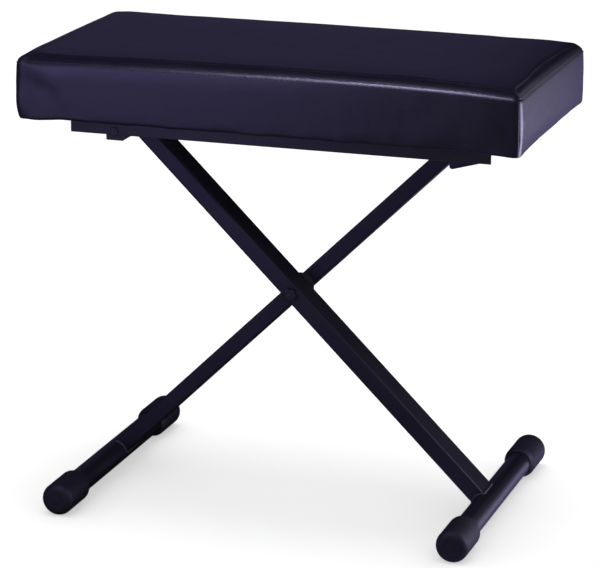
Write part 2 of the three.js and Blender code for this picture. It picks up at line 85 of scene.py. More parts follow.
# How far each top corner has sunk, and how far along the edges that spreads.
CORNER_DROOP = {(-1, -1): (0.3, 30), (1, -1): (2.0, 40), (1, 1): (1.7, 18), (-1, 1): (0.0, 30)}
PUFF_LIMIT = 1.4 * MM  # the furthest that the cloth simulation may move a point outwards
PRESS_LIMIT = 0.5 * MM  # and inwards, into the foam
EVENING_PASSES = 6  # times that the simulated movement is averaged between neighbours
BOARD_TOP_HEIGHT = box("seat_board")[1][2] - SEAT_LOW[2]
BOARD_PRESS = 0.2 * MM  # how far the cover can press in where the board is behind it
SOFT_EDGE = 3.0 * MM  # how far the front's upper edge slopes back on the left
GRID_SPACING = 7 * MM
TOP_SEAM_DROP = 4.6 * MM  # from the top plane down to the seam between top and border

# ---------------------------------------------------------------------------------------
# Mesh tools
# ---------------------------------------------------------------------------------------


def grid_quads(rows, columns, close_rows=False, close_columns=False):
    """Corner numbers of the quads of a grid of points numbered row by row."""
    row, column = np.meshgrid(
        np.arange(rows if close_rows else rows - 1),
        np.arange(columns if close_columns else columns - 1),
        indexing="ij",
    )
    row, column = row.ravel(), column.ravel()
    next_row, next_column = (row + 1) % rows, (column + 1) % columns
    return np.stack(
        [
            row * columns + column,
            row * columns + next_column,
            next_row * columns + next_column,
            next_row * columns + column,
        ],
        axis=1,
    )


def volume(points, faces):
    """Six times the volume inside faces of one size: the sum of each fan triangle's a . (b x c)."""
    total = 0.0
    for k in range(1, faces.shape[1] - 1):
        a, b, c = points[faces[:, 0]], points[faces[:, k]], points[faces[:, k + 1]]
        total += np.einsum("ij,ij->", a, np.cross(b, c))
    return total


def mesh_object(name, points, *face_sets, sharp=40, closed=True):
    """An object from points and sets of faces, each set an array of one face size.

    A closed shape whose volume comes out negative has every face turned round. Edges that turn
    by more than `sharp` degrees stay crisp.
    """
    points = np.ascontiguousarray(points, dtype=float).reshape(-1, 3)
    face_sets = [np.asarray(faces, dtype=int) for faces in face_sets if len(faces)]
    if closed:
        centred = points - points.mean(axis=0)
        if sum(volume(centred, faces) for faces in face_sets) < 0:
            face_sets = [faces[:, ::-1] for faces in face_sets]
    sizes = np.concatenate([np.full(len(faces), faces.shape[1]) for faces in face_sets])
    corners = np.concatenate([faces.ravel() for faces in face_sets])
    mesh = bpy.data.meshes.new(name)
    mesh.vertices.add(len(points))
    mesh.vertices.foreach_set("co", points.astype(np.float32).ravel())
    mesh.loops.add(len(corners))
    mesh.loops.foreach_set("vertex_index", corners.astype(np.int32))
    mesh.polygons.add(len(sizes))
    starts = np.concatenate([[0], np.cumsum(sizes)[:-1]])
    mesh.polygons.foreach_set("loop_start", starts.astype(np.int32))
    mesh.update(calc_edges=True)
    mesh.validate()
    mesh.polygons.foreach_set("use_smooth", np.ones(len(mesh.polygons), dtype=bool))
    if sharp is not None:
        mesh.set_sharp_from_angle(angle=math.radians(sharp))
    piece = bpy.data.objects.new(name, mesh)
    bpy.context.scene.collection.objects.link(piece)
    return piece


def rounded_path(corners, steps=5, closed=False):
    """A flat path through corners (u, v, radius), each corner an arc that touches both its sides.

    The arc's centre lies on the corner's bisector at radius / sin(half angle), and its points turn
    evenly from one touching point to the other.
    """
    corners = np.array(corners, dtype=float)
    count = len(corners)
    path = []
    for i in range(count):
        here, radius = corners[i, :2], corners[i, 2]
        at_end = not closed and i in (0, count - 1)
        if radius <= 0 or at_end:
            path.append(here[None])
            continue
        back = corners[i - 1, :2] - here
        ahead = corners[(i + 1) % count, :2] - here
        back /= np.linalg.norm(back)
        ahead /= np.linalg.norm(ahead)
        half = math.acos(np.clip(back @ ahead, -1, 1)) / 2
        reach = radius / math.tan(half)
        bisector = (back + ahead) / np.linalg.norm(back + ahead)
        centre = here + bisector * radius / math.sin(half)
        start, end = here + back * reach - centre, here + ahead * reach - centre
        sweep = math.pi - 2 * half
        t = np.linspace(0, 1, steps + 1)[:, None]
        path.append(centre + (np.sin((1 - t) * sweep) * start + np.sin(t * sweep) * end) / math.sin(sweep))
    return np.concatenate(path)


def turned(name, profile, x, z, sides=80, closed=False, sharp=40):
    """A profile of (radius, y) turned about the line along Y through (x, z).

    A closed profile makes a ring. An open one starts and ends on the line, where its end points
    become one vertex each, joined to the next ring by triangles.
    """
    profile = np.array(profile, dtype=float)
    rings = profile if closed else profile[1:-1]
    angle = np.arange(sides) / sides * TURN
    radius, y = rings[:, :1], np.repeat(rings[:, 1:], sides, axis=1)
    points = np.stack([x + radius * np.cos(angle), y, z + radius * np.sin(angle)], axis=2).reshape(-1, 3)
    quads = grid_quads(len(rings), sides, close_rows=closed, close_columns=True)
    if closed:
        return mesh_object(name, points, quads, sharp=sharp)
    first, last = len(points), len(points) + 1
    points = np.concatenate([points, [[x, profile[0, 1], z], [x, profile[-1, 1], z]]])
    here = np.arange(sides)
    after = (here + 1) % sides
    base = (len(rings) - 1) * sides
    near = np.stack([np.full(sides, first), after, here], axis=1)
    far = np.stack([np.full(sides, last), base + here, base + after], axis=1)
    return mesh_object(name, points, quads, np.concatenate([near, far]), sharp=sharp)


def loft(name, sections, sharp=40, closed_rows=False, loop=True):
    """A skin over sections, an array (rows, columns, 3), each a closed loop of points.

    The two ends are shut by a fan of triangles to their middle points, unless the last section
    joins the first.
    """
    rows, columns = sections.shape[:2]
    points = sections.reshape(-1, 3)
    quads = grid_quads(rows, columns, close_rows=closed_rows, close_columns=loop)
    if closed_rows:
        return mesh_object(name, points, quads, sharp=sharp)
    first, last = len(points), len(points) + 1
    points = np.concatenate([points, [sections[0].mean(axis=0), sections[-1].mean(axis=0)]])
    here = np.arange(columns)
    after = (here + 1) % columns
    base = (rows - 1) * columns
    near = np.stack([np.full(columns, first), after, here], axis=1)
    far = np.stack([np.full(columns, last), base + here, base + after], axis=1)
    return mesh_object(name, points, quads, np.concatenate([near, far]), sharp=sharp)


def wire(name, path, radius, reference, sides=10, closed=False, sharp=60):
    """A round wire along a path. Its section lies in the plane of tangent x reference.

    Each ring is path + radius * (cos(angle) * side + sin(angle) * up), with side the unit
    tangent x reference and up the unit side x tangent. radius may be one number or one per point.
    """
    path = np.array(path, dtype=float)
    if closed:
        tangent = np.roll(path, -1, axis=0) - np.roll(path, 1, axis=0)
    else:
        tangent = np.gradient(path, axis=0)
    tangent /= np.linalg.norm(tangent, axis=1, keepdims=True)
    side = np.cross(tangent, reference)
    side /= np.linalg.norm(side, axis=1, keepdims=True)
    up = np.cross(side, tangent)
    radius = np.broadcast_to(radius, len(path))[:, None, None]
    angle = (np.arange(sides) / sides * TURN)[None, :, None]
    rings = path[:, None] + radius * (np.cos(angle) * side[:, None] + np.sin(angle) * up[:, None])
    return loft(name, rings, sharp=sharp, closed_rows=closed)


def offset_loop(outline, distance):
    """A closed flat outline moved inwards: each point goes along the mean of its two sides' normals."""
    back = outline - np.roll(outline, 1, axis=0)
    ahead = np.roll(outline, -1, axis=0) - outline
    back /= np.linalg.norm(back, axis=1, keepdims=True)
    ahead /= np.linalg.norm(ahead, axis=1, keepdims=True)
    area = np.sum(outline[:, 0] * np.roll(outline[:, 1], -1) - outline[:, 1] * np.roll(outline[:, 0], -1))
    inward = math.copysign(1, area) * np.stack([-(back + ahead)[:, 1], (back + ahead)[:, 0]], axis=1)
    length = np.linalg.norm(inward, axis=1, keepdims=True)
    return outline + inward / np.maximum(length, 1e-9) * distance


def slab(name, outline, place, near, far, rim, sharp=30):
    """A plate of a flat outline from depth near to far, its rims rounded over by `rim`.

    place turns arrays u, v, depth into points. Both faces are single many-sided faces.
    """
    steps = np.linspace(0, math.pi / 2, 4)
    insets = rim * (1 - np.sin(steps))
    depths = rim * (1 - np.cos(steps))
    rows = [(inset, near + depth) for inset, depth in zip(insets, depths)]
    rows += [(inset, far - depth) for inset, depth in zip(insets[::-1], depths[::-1])]
    loops = []
    for inset, depth in rows:
        u, v = offset_loop(outline, inset).T
        loops.append(place(u, v, np.full(len(outline), depth)))
    count = len(outline)
    points = np.concatenate(loops)
    ends = np.stack([np.arange(count), (len(rows) - 1) * count + np.arange(count)[::-1]])
    quads = grid_quads(len(rows), count, close_columns=True)
    return mesh_object(name, points, quads[:, ::-1], ends, sharp=sharp)


def upright(u, v, depth):
    """Places a plate's outline in (X, Z), with its depth along Y."""
    return np.stack([u, depth, v], axis=-1)


def section_bar(name, section, from_x, to_x, rim=0.3 * MM):
    """A bar of a flat (Y, Z) section along X, with its end edges eased."""
    return slab(name, section, lambda u, v, depth: np.stack([depth, u, v], axis=-1), from_x, to_x, rim)


def rounded_rectangle(half_u, half_v, radius, steps=6, centre=(0, 0)):
    """A closed loop round a rectangle with rounded corners."""
    u, v = centre
    corners = [(u - half_u, v - half_v), (u + half_u, v - half_v), (u + half_u, v + half_v), (u - half_u, v + half_v)]
    return rounded_path([(cu, cv, radius) for cu, cv in corners], steps, closed=True)


def copies(name, shape_points, shape_quads, centres, directions, normals):
    """One object of many copies of a small closed shape.

    The shape's x, y and z axes go to direction, normal x direction and normal at each centre.
    """
    directions = directions / np.linalg.norm(directions, axis=1, keepdims=True)
    sideways = np.cross(normals, directions)
    sideways /= np.linalg.norm(sideways, axis=1, keepdims=True)
    upward = np.cross(directions, sideways)
    axes = np.stack([directions, sideways, upward], axis=1)
    points = centres[:, None] + np.einsum("pa,nad->npd", shape_points, axes)
    shift = (np.arange(len(centres)) * len(shape_points))[:, None, None]
    return mesh_object(name, points.reshape(-1, 3), (shape_quads + shift).reshape(-1, 4))


def capsule(length, radius, sides=8):
    """A short round thread along x, its ends drawn in and its middle bowed up by its own radius."""
    along = np.array([-0.5, -0.46, -0.3, 0, 0.3, 0.46, 0.5])
    girth = np.array([0.12, 0.62, 1, 1, 1, 0.62, 0.12]) * radius
    angle = np.arange(sides) / sides * TURN
    bow = radius * (0.7 - 1.6 * (2 * along) ** 4 / 1.6)
    points = np.stack(
        [
            np.repeat((along * length)[:, None], sides, axis=1),
            girth[:, None] * np.cos(angle),
            girth[:, None] * np.sin(angle) + bow[:, None],
        ],
        axis=2,
    ).reshape(-1, 3)
    quads = grid_quads(len(along), sides, close_columns=True)
    half = sides // 2
    end = []
    for base in (0, (len(along) - 1) * sides):
        for k in range(half - 1):
            end.append([base + k, base + k + 1, base + sides - 2 - k, base + sides - 1 - k])
    end = np.array(end)
    end[: half - 1] = end[: half - 1, ::-1]
    return points, np.concatenate([quads[:, ::-1], end[:, ::-1]])


def dress(piece, finish, body, replaces=()):
    """Gives a piece its material, the body it rides on and the nodes it stands for."""
    piece.data.materials.clear()
    piece.data.materials.append(FINISHES[finish])
    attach(piece, body)
    if replaces:
        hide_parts(*replaces)
    return piece


# ---------------------------------------------------------------------------------------
# Materials
# ---------------------------------------------------------------------------------------


class Value:
    """A shader socket that Python's own + - * / ** work on, each adding a Math node."""

    def __init__(self, finish, socket):
        self.finish = finish
        self.socket = socket

    def math(self, operation, *others, clamp=False):
        return self.finish.add("Math", {"operation": operation, "use_clamp": clamp}, self, *others)

    def __add__(self, other):
        return self.math("ADD", other)

    def __sub__(self, other):
        return self.math("SUBTRACT", other)

    def __rsub__(self, other):
        return self.finish.add("Math", {"operation": "SUBTRACT"}, other, self)

    def __mul__(self, other):
        return self.math("MULTIPLY", other)

    def __truediv__(self, other):
        return self.math("DIVIDE", other)

    def __pow__(self, other):
        return self.math("POWER", other)

    __radd__ = __add__
    __rmul__ = __mul__

    def smooth(self, low, high):
        """0 below low, 1 above high and a smooth step between."""
        settings = {"interpolation_type": "SMOOTHSTEP"}
        return self.finish.add("MapRange", settings, self, low, high, 0.0, 1.0)


class Finish:
    """A material under construction: one Principled shader and the nodes that feed it."""

    def __init__(self, name):
        self.material = bpy.data.materials.new(name)
        self.material.use_nodes = True
        self.tree = self.material.node_tree
        self.shader = self.tree.nodes["Principled BSDF"]
        self.place = self.add("TexCoord", {}, output="Object")

    def add(self, kind, settings, *values, output=0, **named):
        """Adds a node: its settings are set first, then its inputs, in order and by name."""
        node = self.tree.nodes.new("ShaderNode" + kind)
        for key, setting in settings.items():
            if key == "stops":
                self.set_stops(node.color_ramp, setting)
            else:
                setattr(node, key, setting)
        for index, value in enumerate(values):
            self.feed(node.inputs[index], value)
        for key, value in named.items():
            self.feed(node.inputs[key.replace("_", " ")], value)
        return Value(self, node.outputs[output])

    def set_stops(self, ramp, stops):
        while len(ramp.elements) < len(stops):
            ramp.elements.new(1.0)
        for element, (position, colour) in zip(ramp.elements, stops):
            element.position = position
            element.color = (*colour, 1) if hasattr(colour, "__len__") else (colour, colour, colour, 1)

    def feed(self, socket, value):
        if isinstance(value, Value):
            self.tree.links.new(value.socket, socket)
        elif hasattr(socket.default_value, "__len__") and hasattr(value, "__len__"):
            wanted = len(socket.default_value)
            socket.default_value = (*value, 1)[:wanted] if len(value) < wanted else value
        else:
            socket.default_value = value

    def noise(self, scale, detail=2, roughness=0.5, place=None):
        """Cloudy noise; scale is in cells per metre."""
        place = place or self.place
        return self.add("TexNoise", {}, Vector=place, Scale=scale, Detail=detail, Roughness=roughness)

    def cells(self, scale, feature="F1", place=None, output="Distance", smoothness=None):
        """Voronoi cells; scale is in cells per metre."""
        place = place or self.place
        named = {"Vector": place, "Scale": scale}
        if smoothness is not None:
            named["Smoothness"] = smoothness
        return self.add("TexVoronoi", {"feature": feature}, output=output, **named)

    def stretched(self, *scale, turn=(0, 0, 0)):
        """The place scaled by three numbers, so that a pattern runs along an axis."""
        return self.add("Mapping", {}, Vector=self.place, Rotation=turn, Scale=scale)

    def mix(self, factor, a, b):
        """A colour from a to b."""
        settings = {"data_type": "RGBA", "clamp_factor": True}
        node = self.tree.nodes.new("ShaderNodeMix")
        for key, setting in settings.items():
            setattr(node, key, setting)
        for socket, value in ((node.inputs[0], factor), (node.inputs[6], a), (node.inputs[7], b)):
            self.feed(socket, value)
        return Value(self, node.outputs[2])

    def bump(self, height, depth, strength=1.0, under=None):
        """A bump whose height of 0 to 1 stands for `depth` metres."""
        named = {"Strength": strength, "Distance": depth, "Height": height}
        if under is not None:
            named["Normal"] = under
        return self.add("Bump", {}, **named)

    def set(self, **sockets):
        """Sets the Principled shader's sockets by name, with _ for a space."""
        for key, value in sockets.items():
            self.feed(self.shader.inputs[key.replace("_", " ")], value)
        return self.material


def vinyl():
    """Black-violet upholstery vinyl: a pebble grain, faint stretch lines, a soft gloss."""
    finish = Finish("vinyl")
    warp = finish.noise(260, 2)
    place = finish.add("VectorMath", {"operation": "MULTIPLY_ADD"}, finish.place, (1, 1, 1), warp * 0.0004)
    pebbles = finish.cells(880, "SMOOTH_F1", place=place, smoothness=0.35)
    creases = finish.cells(430, "DISTANCE_TO_EDGE", place=place).smooth(0.0, 0.12)
    pores = finish.noise(2600, 2, 0.6)
    soft = finish.noise(9, 3, 0.55)
    patches = finish.noise(38, 3, 0.6)
    grain = pebbles.smooth(0.05, 0.75) * 0.55 + creases * 0.3 + pores * 0.18
    colour = finish.mix(soft.smooth(0.35, 0.7), (0.0056, 0.0048, 0.0130), (0.0074, 0.0063, 0.0160))
    colour = finish.mix(patches.smooth(0.55, 0.8) * 0.3, colour, (0.0100, 0.0084, 0.0205))
    roughness = 0.29 + soft * 0.09 + patches * 0.06 - creases * 0.03
    slack = finish.bump(finish.noise(55, 3, 0.55, finish.stretched(1, 1.6, 0.8)), 0.0009, 0.35)
    normal = finish.bump(grain, 0.00009, 0.55, slack)
    return finish.set(
        Base_Color=colour,
        Roughness=roughness,
        Normal=normal,
        Specular_IOR_Level=0.5,
        Specular_Tint=(0.86, 0.84, 1.0),
    )


def frame_paint():
    """Satin black powder coat: orange peel, a few dust nibs and rubbed patches."""
    finish = Finish("frame_paint")
    peel = finish.noise(900, 2, 0.5)
    nibs = finish.cells(1500).smooth(0.0, 0.16)
    cloud = finish.noise(22, 4, 0.6)
    rub = finish.noise(120, 4, 0.65, finish.stretched(1, 0.35, 1)).smooth(0.60, 0.78)
    colour = finish.mix(cloud, (0.0030, 0.0026, 0.0070), (0.0062, 0.0055, 0.0130))
    colour = finish.mix(rub * 0.35, colour, (0.016, 0.015, 0.026))
    normal = finish.bump(peel + (1 - nibs) * 0.5, 0.00006, 0.5)
    return finish.set(
        Base_Color=colour,
        Roughness=0.36 + cloud * 0.12 + rub * 0.10,
        Normal=normal,
        Specular_IOR_Level=0.5,
        Specular_Tint=(0.80, 0.76, 1.0),
    )


def rail_paint():
    """The same coat on the rails, its base colour a shade lighter than the frame's: a painted reflection of the light
    from the front.
    """
    finish = Finish("rail_paint")
    peel = finish.noise(700, 2, 0.5)
    cloud = finish.noise(18, 4, 0.6)
    streak = finish.noise(90, 3, 0.6, finish.stretched(0.12, 1, 1)).smooth(0.5, 0.8)
    # These base colours, lighter than the frame paint's, are a painted reflection of the light from the front.
    colour = finish.mix(cloud, (0.0080, 0.0070, 0.0180), (0.0110, 0.0096, 0.0240))
    colour = finish.mix(streak * 0.3, colour, (0.015, 0.013, 0.029))
    return finish.set(
        Base_Color=colour,
        Roughness=0.40 + cloud * 0.10,
        Normal=finish.bump(peel, 0.00006, 0.5),
        Specular_Tint=(0.88, 0.86, 1.0),
    )


def rubber():
    """Moulded black rubber: matt, finely pitted, a little dusty where it is handled."""
    finish = Finish("rubber")
    pits = finish.noise(2200, 3, 0.6)
    cloud = finish.noise(45, 4, 0.6)
    dust = finish.noise(260, 4, 0.7).smooth(0.55, 0.85)
    colour = finish.mix(cloud, (0.0034, 0.0030, 0.0085), (0.0056, 0.0050, 0.0130))
    colour = finish.mix(dust * 0.25, colour, (0.014, 0.013, 0.023))
    return finish.set(
        Base_Color=colour,
        Roughness=0.55 + cloud * 0.16,
        Normal=finish.bump(pits, 0.00007, 0.6),
        Specular_IOR_Level=0.34,
        Specular_Tint=(0.80, 0.76, 1.0),
    )


def zinc():
    """Bright zinc plate: fine drawn lines and a dull bloom."""
    finish = Finish("zinc")
    drawn = finish.noise(1400, 3, 0.6, finish.stretched(1, 0.06, 1))
    bloom = finish.noise(180, 4, 0.65)
    colour = finish.mix(bloom.smooth(0.35, 0.75), (0.34, 0.34, 0.37), (0.60, 0.60, 0.63))
    return finish.set(
        Base_Color=colour,
        Metallic=1.0,
        Roughness=0.26 + bloom * 0.22,
        Normal=finish.bump(drawn, 0.00002, 0.5),
    )


def black_steel():
    """Black-oxide steel: dark, slightly oily, worn grey on its edges and in fine scratches."""
    finish = Finish("black_steel")
    drawn = finish.noise(1600, 3, 0.6, finish.stretched(1, 0.08, 1))
    wear = finish.noise(420, 4, 0.65).smooth(0.56, 0.72)
    colour = finish.mix(drawn, (0.018, 0.017, 0.024), (0.040, 0.038, 0.048))
    colour = finish.mix(wear * 0.6, colour, (0.17, 0.165, 0.18))
    return finish.set(
        Base_Color=colour,
        Metallic=0.85,
        Roughness=0.30 + drawn * 0.16,
        Normal=finish.bump(drawn + wear * 0.4, 0.00002, 0.5),
    )


def nylon():
    """Black nylon with a faint moulded mottle."""
    finish = Finish("nylon")
    mottle = finish.noise(700, 3)
    return finish.set(
        Base_Color=finish.mix(mottle, (0.006, 0.006, 0.008), (0.012, 0.012, 0.014)),
        Roughness=0.45 + mottle * 0.15,
        Normal=finish.bump(mottle, 0.00004, 0.4),
    )


def plywood():
    """Birch plywood: plies stacked along Z on its edges, grain and pores along X on its faces."""
    finish = Finish("plywood")
    figure = finish.noise(26, 5, 0.6, finish.stretched(0.25, 2.2, 1))
    pores = finish.noise(900, 3, 0.7, finish.stretched(0.05, 1, 1))
    plies = finish.add("TexWave", {"bands_direction": "Z"}, Vector=finish.place, Scale=105, Distortion=0.6)
    colour = finish.mix(figure.smooth(0.3, 0.7), (0.50, 0.33, 0.17), (0.33, 0.19, 0.09))
    colour = finish.mix(plies.smooth(0.4, 0.6) * 0.45, colour, (0.20, 0.11, 0.05))
    colour = finish.mix(pores.smooth(0.6, 0.75) * 0.5, colour, (0.16, 0.09, 0.04))
    return finish.set(
        Base_Color=colour, Roughness=0.72 + pores * 0.15, Normal=finish.bump(pores + figure, 0.0002, 0.4))


def foam():
    """Open-cell upholstery foam."""
    finish = Finish("foam")
    holes = finish.cells(900).smooth(0.1, 0.6)
    lumps = finish.noise(300, 4, 0.7)
    colour = finish.mix(holes, (0.36, 0.29, 0.13), (0.66, 0.58, 0.36))
    return finish.set(
        Base_Color=colour, Roughness=0.9 + lumps * 0.1, Normal=finish.bump(holes * 0.7 + lumps * 0.3, 0.0006, 0.8))


def dust_cloth():
    """Black non-woven cloth: long crossed fibres and the dimples that bind them."""
    finish = Finish("dust_cloth")
    one = finish.noise(1500, 3, 0.7, finish.stretched(0.07, 1, 1, turn=(0, 0, 0.4)))
    other = finish.noise(1500, 3, 0.7, finish.stretched(1, 0.07, 1, turn=(0, 0, 0.3)))
    dimples = finish.cells(620).smooth(0.08, 0.30)
    fibres = one.math("MAXIMUM", other)
    colour = finish.mix(fibres.smooth(0.5, 0.8), (0.0065, 0.0065, 0.0085), (0.022, 0.022, 0.026))
    return finish.set(
        Base_Color=colour,
        Roughness=0.85 + fibres * 0.12,
        Normal=finish.bump(fibres * 0.5 + dimples * 0.5, 0.00025, 0.6),
        Sheen_Weight=0.25,
    )


def thread():
    """Twisted polyester thread."""
    finish = Finish("thread")
    twist = finish.noise(2600, 2, 0.5, finish.stretched(1, 0.5, 1.4, turn=(0.5, 0.4, 0.6)))
    return finish.set(
        Base_Color=finish.mix(twist, (0.006, 0.005, 0.011), (0.022, 0.019, 0.034)),
        Roughness=0.62 + twist * 0.1,
        Normal=finish.bump(twist, 0.00012, 0.7),
    )


def weld():
    """A weld bead under the same black coat: thicker paint, pooled between the ripples."""
    finish = Finish("weld")
    ripple = finish.noise(600, 3, 0.6)
    spatter = finish.cells(950).smooth(0.0, 0.22)
    colour = finish.mix(ripple, (0.0075, 0.0070, 0.0135), (0.0165, 0.0155, 0.0270))
    return finish.set(
        Base_Color=colour,
        Roughness=0.34 + ripple * 0.14,
        Normal=finish.bump(ripple + (1 - spatter) * 0.6, 0.00018, 0.5),
    )


FINISHES = {
    maker.__name__: maker()
    for maker in (
        vinyl, frame_paint, rail_paint, rubber, zinc, black_steel, nylon, plywood, foam, dust_cloth, thread, weld)
}

# ---------------------------------------------------------------------------------------
# Seat
# ---------------------------------------------------------------------------------------

# The radius of each upright corner at the top of the pad, by the signs of its X and Y. The foam
# has softened most at the rear left.
TOP_CORNER_RADIUS = {(-1, -1): 12 * MM, (1, -1): 9 * MM, (1, 1): 9 * MM, (-1, 1): 27 * MM}
LOW_CORNER_RADIUS = 7.5 * MM
SMALLEST_CORNER = 1.5 * MM


def spaced(half, edge_steps):
    """Places from -half to half: even in the middle, closer where edge_steps says."""
    steps = np.array(edge_steps) * MM
    inner = half - steps[-1]
    count = int(round(2 * inner / GRID_SPACING))
    even = np.linspace(-inner, inner, count + 1)[1:-1]
    return np.concatenate([-half + steps, even, (half - steps)[::-1]])


def perimeter(xs, ys):
    """Grid numbers (i, j) round the edge of a grid of xs by ys, anticlockwise from (0, 0)."""
    nx, ny = len(xs), len(ys)
    i = np.concatenate([np.arange(nx - 1), np.full(ny - 1, nx - 1), np.arange(nx - 1, 0, -1), np.zeros(ny - 1)])
    j = np.concatenate([np.zeros(nx - 1), np.arange(ny - 1), np.full(nx - 1, ny - 1), np.arange(ny - 1, 0, -1)])
    return i.astype(int), j.astype(int)


def corner_radius(x, y, height):
    """The upright corner's radius at a point of the wall: it grows with the cube of the height."""
    top = np.zeros(np.broadcast(x, height).shape)
    for (sx, sy), radius in TOP_CORNER_RADIUS.items():
        top = np.where((np.sign(x) == sx) & (np.sign(y) == sy), radius, top)
    return LOW_CORNER_RADIUS + (top - LOW_CORNER_RADIUS) * np.clip(height, 0, 1) ** 2


def smoothstep(t):
    t = np.clip(t, 0, 1)
    return t * t * (3 - 2 * t)


def gathers(t, seed, waves):
    """A sum of sines along a length t with fixed random phases: gentle, uneven waves."""
    rng = np.random.default_rng(seed)
    total = np.zeros_like(t)
    for wavelength, height in waves:
        total = total + height * np.sin(TURN * (t / wavelength + rng.random()))
    return total


# Creases pressed into the cover: start and end as (distance from the left or front end of the
# face, height above the hem), then depth and width. Each is a shallow valley with a soft ridge
# above it.
FRONT_CREASES = [
    ((4, 46), (58, 24), 2.2, 11),
    ((20, 12), (70, 8), 1.2, 7),
    ((8, 5), (46, 26), 0.9, 5),
    ((14, 2), (74, 17), 0.8, 5),
    ((5, 16), (30, 44), 0.7, 5),
    ((36, 3), (96, 9), 0.7, 4),
    ((110, 4), (190, 7), 0.6, 4),
    ((230, 3), (330, 6), 0.5, 4),
    ((360, 5), (450, 3), 0.5, 4),
    ((478, 4), (560, 9), 0.6, 4),
    ((592, 8), (556, 24), 0.8, 5),
    ((590, 22), (566, 48), 0.6, 5),
]
END_CREASES = [
    ((6, 8), (44, 24), 0.8, 5),
    ((10, 22), (58, 40), 0.6, 6),
    ((24, 5), (92, 12), 0.6, 4),
    ((120, 6), (200, 10), 0.5, 4),
    ((298, 9), (262, 26), 0.8, 5),
    ((296, 24), (270, 50), 0.6, 5),
    ((210, 5), (276, 8), 0.6, 4),
]


def crease_depth(u, v, creases):
    """How far the creases push in at (u, v): a Gaussian valley across each line, fading at its ends,
    with half as much ridge beside it."""
    total = np.zeros(np.broadcast(u, v).shape)
    for start, end, depth, width in creases:
        start, end = np.array(start) * MM, np.array(end) * MM
        line = end - start
        length = np.linalg.norm(line)
        line /= length
        du, dv = u - start[0], v - start[1]
        t = (du * line[0] + dv * line[1]) / length
        off = (dv * line[0] - du * line[1]) / (width * MM)
        fade = smoothstep((t + 0.15) / 0.3) * smoothstep((1.15 - t) / 0.4)
        total += depth * MM * fade * (np.exp(-off**2) - 0.55 * np.exp(-((off - 1.7) ** 2)))
    return total


def seat_profile(inset, hem):
    """The cover's section from the hem's inner edge, out and up the wall and over on to the top.

    Rows are (distance in from the wall, height). The lower and upper edges are quarter circles.
    """
    low, high = SEAT_LOW[2] + inset, SEAT_HIGH[2] - inset
    lower, upper = 3.2 * MM, 10.5 * MM - inset
    under = [(s, low) for s in np.linspace(hem, lower + 3 * MM, 5)] if hem else []
    bend = np.linspace(0, math.pi / 2, 5)
    foot = [(lower * (1 - math.sin(a)), low + lower * (1 - math.cos(a))) for a in bend]
    wall = [(0, z) for z in np.linspace(low + lower, high - upper, 10)[1:-1]]
    bend = np.linspace(0, math.pi / 2, 9)
    shoulder = [(upper * (1 - math.cos(a)), high - upper * (1 - math.sin(a))) for a in bend]
    rim = [(upper + step * MM, high) for step in (1.2, 2.6)]
    return np.array(under + foot + wall + shoulder + rim)


def carried_in(shift, u, v):
    """Spreads the shift of a grid's rim over its inside as a Coons patch: the blend between the two
    ends plus the blend between the two sides, less the blend of the four corners."""
    u, v = u[:, None, None], v[None, :, None]
    along = (1 - u) * shift[:1] + u * shift[-1:]
    across = (1 - v) * shift[:, :1] + v * shift[:, -1:]
    corners = (1 - u) * ((1 - v) * shift[0, 0] + v * shift[0, -1]) + u * ((1 - v) * shift[-1, 0] + v * shift[-1, -1])
    return along + across - corners


